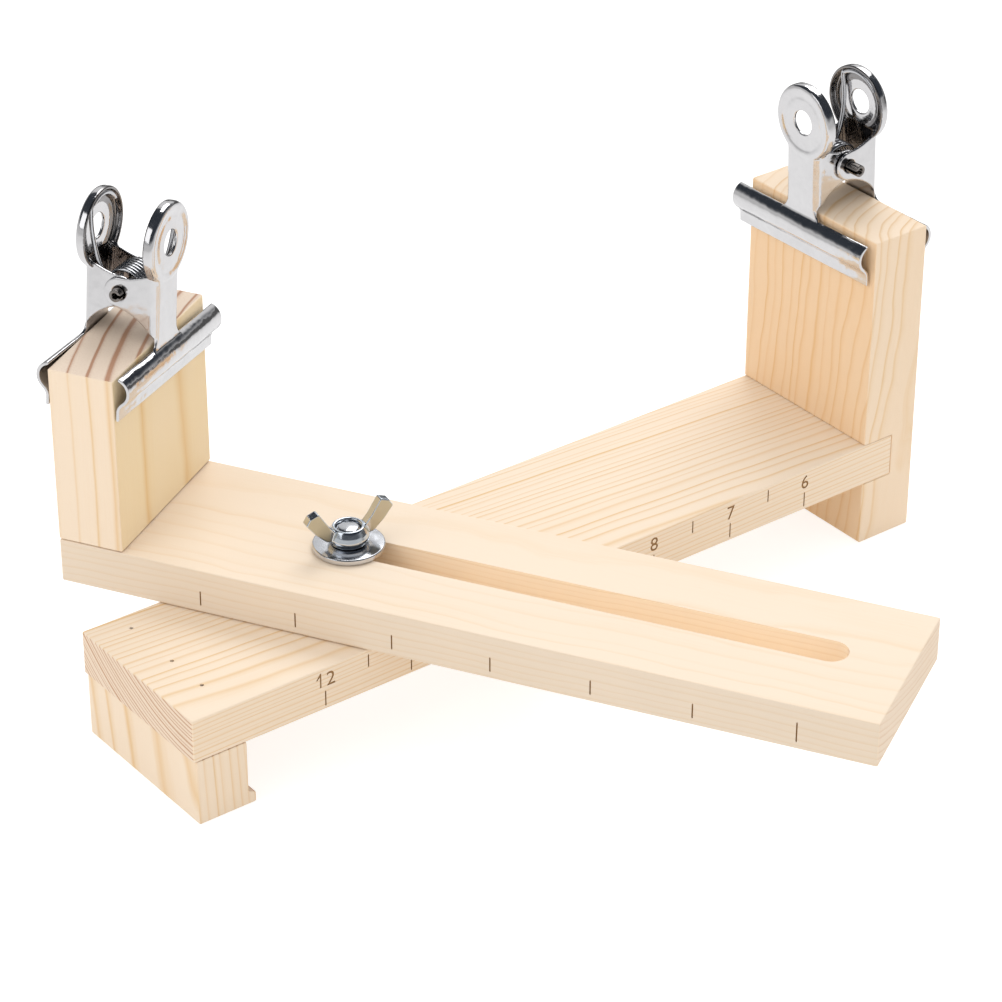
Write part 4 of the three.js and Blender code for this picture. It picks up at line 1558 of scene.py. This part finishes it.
def wire_tree():
    """Geometry Nodes: sweeps a round section along an edge chain and closes its ends."""
    tree = bpy.data.node_groups.new("wire", "GeometryNodeTree")
    tree.interface.new_socket(name="Line", in_out="INPUT", socket_type="NodeSocketGeometry")
    tree.interface.new_socket(name="Radius", in_out="INPUT", socket_type="NodeSocketFloat")
    tree.interface.new_socket(name="Look", in_out="INPUT", socket_type="NodeSocketMaterial")
    tree.interface.new_socket(name="Wire", in_out="OUTPUT", socket_type="NodeSocketGeometry")
    source, out = tree.nodes.new("NodeGroupInput"), tree.nodes.new("NodeGroupOutput")
    chain = tree.nodes.new("GeometryNodeMeshToCurve")
    circle = tree.nodes.new("GeometryNodeCurvePrimitiveCircle")
    circle.inputs["Resolution"].default_value = 14
    sweep = tree.nodes.new("GeometryNodeCurveToMesh")
    sweep.inputs["Fill Caps"].default_value = True
    soft = tree.nodes.new("GeometryNodeSetShadeSmooth")
    real = tree.nodes.new("GeometryNodeRealizeInstances")
    paint = tree.nodes.new("GeometryNodeSetMaterial")
    tree.links.new(source.outputs["Line"], chain.inputs[0])
    tree.links.new(source.outputs["Radius"], circle.inputs["Radius"])
    tree.links.new(chain.outputs[0], sweep.inputs["Curve"])
    tree.links.new(circle.outputs[0], sweep.inputs["Profile Curve"])
    tree.links.new(sweep.outputs[0], soft.inputs[0])
    tree.links.new(soft.outputs[0], real.inputs[0])
    tree.links.new(real.outputs[0], paint.inputs[0])
    tree.links.new(source.outputs["Look"], paint.inputs["Material"])
    tree.links.new(paint.outputs[0], out.inputs[0])
    return tree


WIRE = wire_tree()
print("wire tree has", len(WIRE.nodes), "nodes")

# %% [markdown]
# The wire's way is a chain of edges, which the tree turns into a curve. Where the way is set by a few knots,
# a smooth line is drawn through them first.

# %% A wire along points


def wire(points, radius, look):
    """A wire mesh in millimetres along points."""
    data = bpy.data.meshes.new("line")
    data.from_pydata(points, [(k, k + 1) for k in range(len(points) - 1)], [])
    maker = bpy.data.objects.new("wire", data)
    bpy.context.scene.collection.objects.link(maker)
    step = maker.modifiers.new("wire", "NODES")
    step.node_group = WIRE
    sockets = {item.name: item.identifier for item in WIRE.interface.items_tree if item.in_out == "INPUT"}
    step[sockets["Radius"]] = radius
    step[sockets["Look"]] = look
    return take_mesh(maker)


def through(points, steps=10):
    """A smooth line through points, by the same rule as a Catmull-Rom curve."""
    first = 2 * Vector(points[0]) - Vector(points[1])
    last = 2 * Vector(points[-1]) - Vector(points[-2])
    ends = [first, *map(Vector, points), last]
    made = []
    for a, b, c, d in zip(ends, ends[1:], ends[2:], ends[3:]):
        for k in range(steps):
            t = k / steps
            bend = (2 * a - 5 * b + 4 * c - d) * t * t
            sway = (3 * b - a - 3 * c + d) * t**3
            made.append(0.5 * (2 * b + (c - a) * t + bend + sway))
    made.append(ends[-2])
    return made


print("wires can be drawn")

# %% [markdown]
# The coil is a helix, and each of its points is worked out from how far round it is. It could be a Screw
# modifier, but the leg has to begin exactly on its last turn.

# %% The coil
WIRE_RADIUS, COIL_RADIUS = 0.6, 4.65
COIL_HALF, TURNS, STEPS_PER_TURN = 4.1, 6.5, 40

coil_points = []
coil_steps = int(TURNS * STEPS_PER_TURN)
for k in range(coil_steps + 1):
    turn = math.pi + 2 * math.pi * k / STEPS_PER_TURN
    y = -COIL_HALF + 2 * COIL_HALF * k / coil_steps
    coil_points.append((COIL_RADIUS * math.cos(turn), y, COIL_RADIUS * math.sin(turn)))
coil = wire(coil_points, WIRE_RADIUS, bright_wire)
print("the coil has", len(coil.polygons), "faces")

# %% [markdown]
# A leg leaves the coil, runs up the inside of its pad and ends in a hook around the pad's hole. A few knots
# set its way, and a smooth line goes through them.

# %% A leg
LEG_FLAT, HOOK = 8.4, 8.5
HOOK_START, HOOK_SWEEP, HOOK_STEPS = 130, 92, 12
LEG_KNOTS = [(0, 0, 0), (0.3, 0, 3), (0.75, 0.3, 8), (1, 0.8, 14)]  # share of the way out, aside, up

leg_line = []
for share, aside, up in LEG_KNOTS:
    leg_line.append((-COIL_RADIUS - (LEG_FLAT - COIL_RADIUS) * share, -COIL_HALF - aside, up))
for k in range(HOOK_STEPS + 1):
    turn = math.radians(HOOK_START - HOOK_SWEEP * k / HOOK_STEPS)
    leg_line.append((-LEG_FLAT, HOOK * math.cos(turn), PAD_HEIGHT - PIN_HEIGHT + HOOK * math.sin(turn)))
root = []
for angle in (206, 200, 194, 188):
    turn = math.radians(angle)
    root.append(Vector((COIL_RADIUS * math.cos(turn), -COIL_HALF, COIL_RADIUS * math.sin(turn))))
leg = wire(root + through(leg_line), WIRE_RADIUS - 0.02, bright_wire)
print("a leg has", len(leg.polygons), "faces")

# %% [markdown]
# The pin's section is a ring with a narrow gap, where the edges of the rolled strip come together.

# %% The pin
PIN_OUT, PIN_IN = 1.55, 0.8

pin_low, pin_high = local_box("base_clip_pin", clip_places["base_clip"])
seam = arc(0, 0, PIN_OUT, 14, 346, 36) + arc(0, 0, PIN_IN, 334, 26, 24)
pin = standing_plate([seam], pin_low.y, pin_high.y, 0.12)
print("pin from", round(pin_low.y, 2), "to", round(pin_high.y, 2))

# %% [markdown]
# ## Both clips
# The two clips are the same article, so the jaw, pin, coil and leg are used again for each. The second jaw
# and the second leg are the first ones turned half round about the clip's middle. A mirror would turn the
# meshes inside out.

# %% Both clips in place
HALF_TURN = Matrix.Rotation(math.pi, 4, "Z")
for prefix, place in clip_places.items():
    for side, turn in (("inner", Matrix.Identity(4)), ("outer", HALF_TURN)):
        name = f"{prefix}_{side}_jaw"
        show(name + "_sheet", moved(jaw, turn), place, f"{prefix}_{side}", None, [name], 60)
    show(prefix + "_pin_tube", pin.copy(), place, prefix, dark_steel, [prefix + "_pin"])
    show(prefix + "_coil", coil.copy(), place, prefix, bright_wire, [prefix + "_spring"], 60)
    for side, turn in (("outer", Matrix.Identity(4)), ("inner", HALF_TURN)):
        body = f"{prefix}_{side}"
        show(f"{prefix}_leg_{side}", moved(leg, turn), place, body, bright_wire, smooth=60)
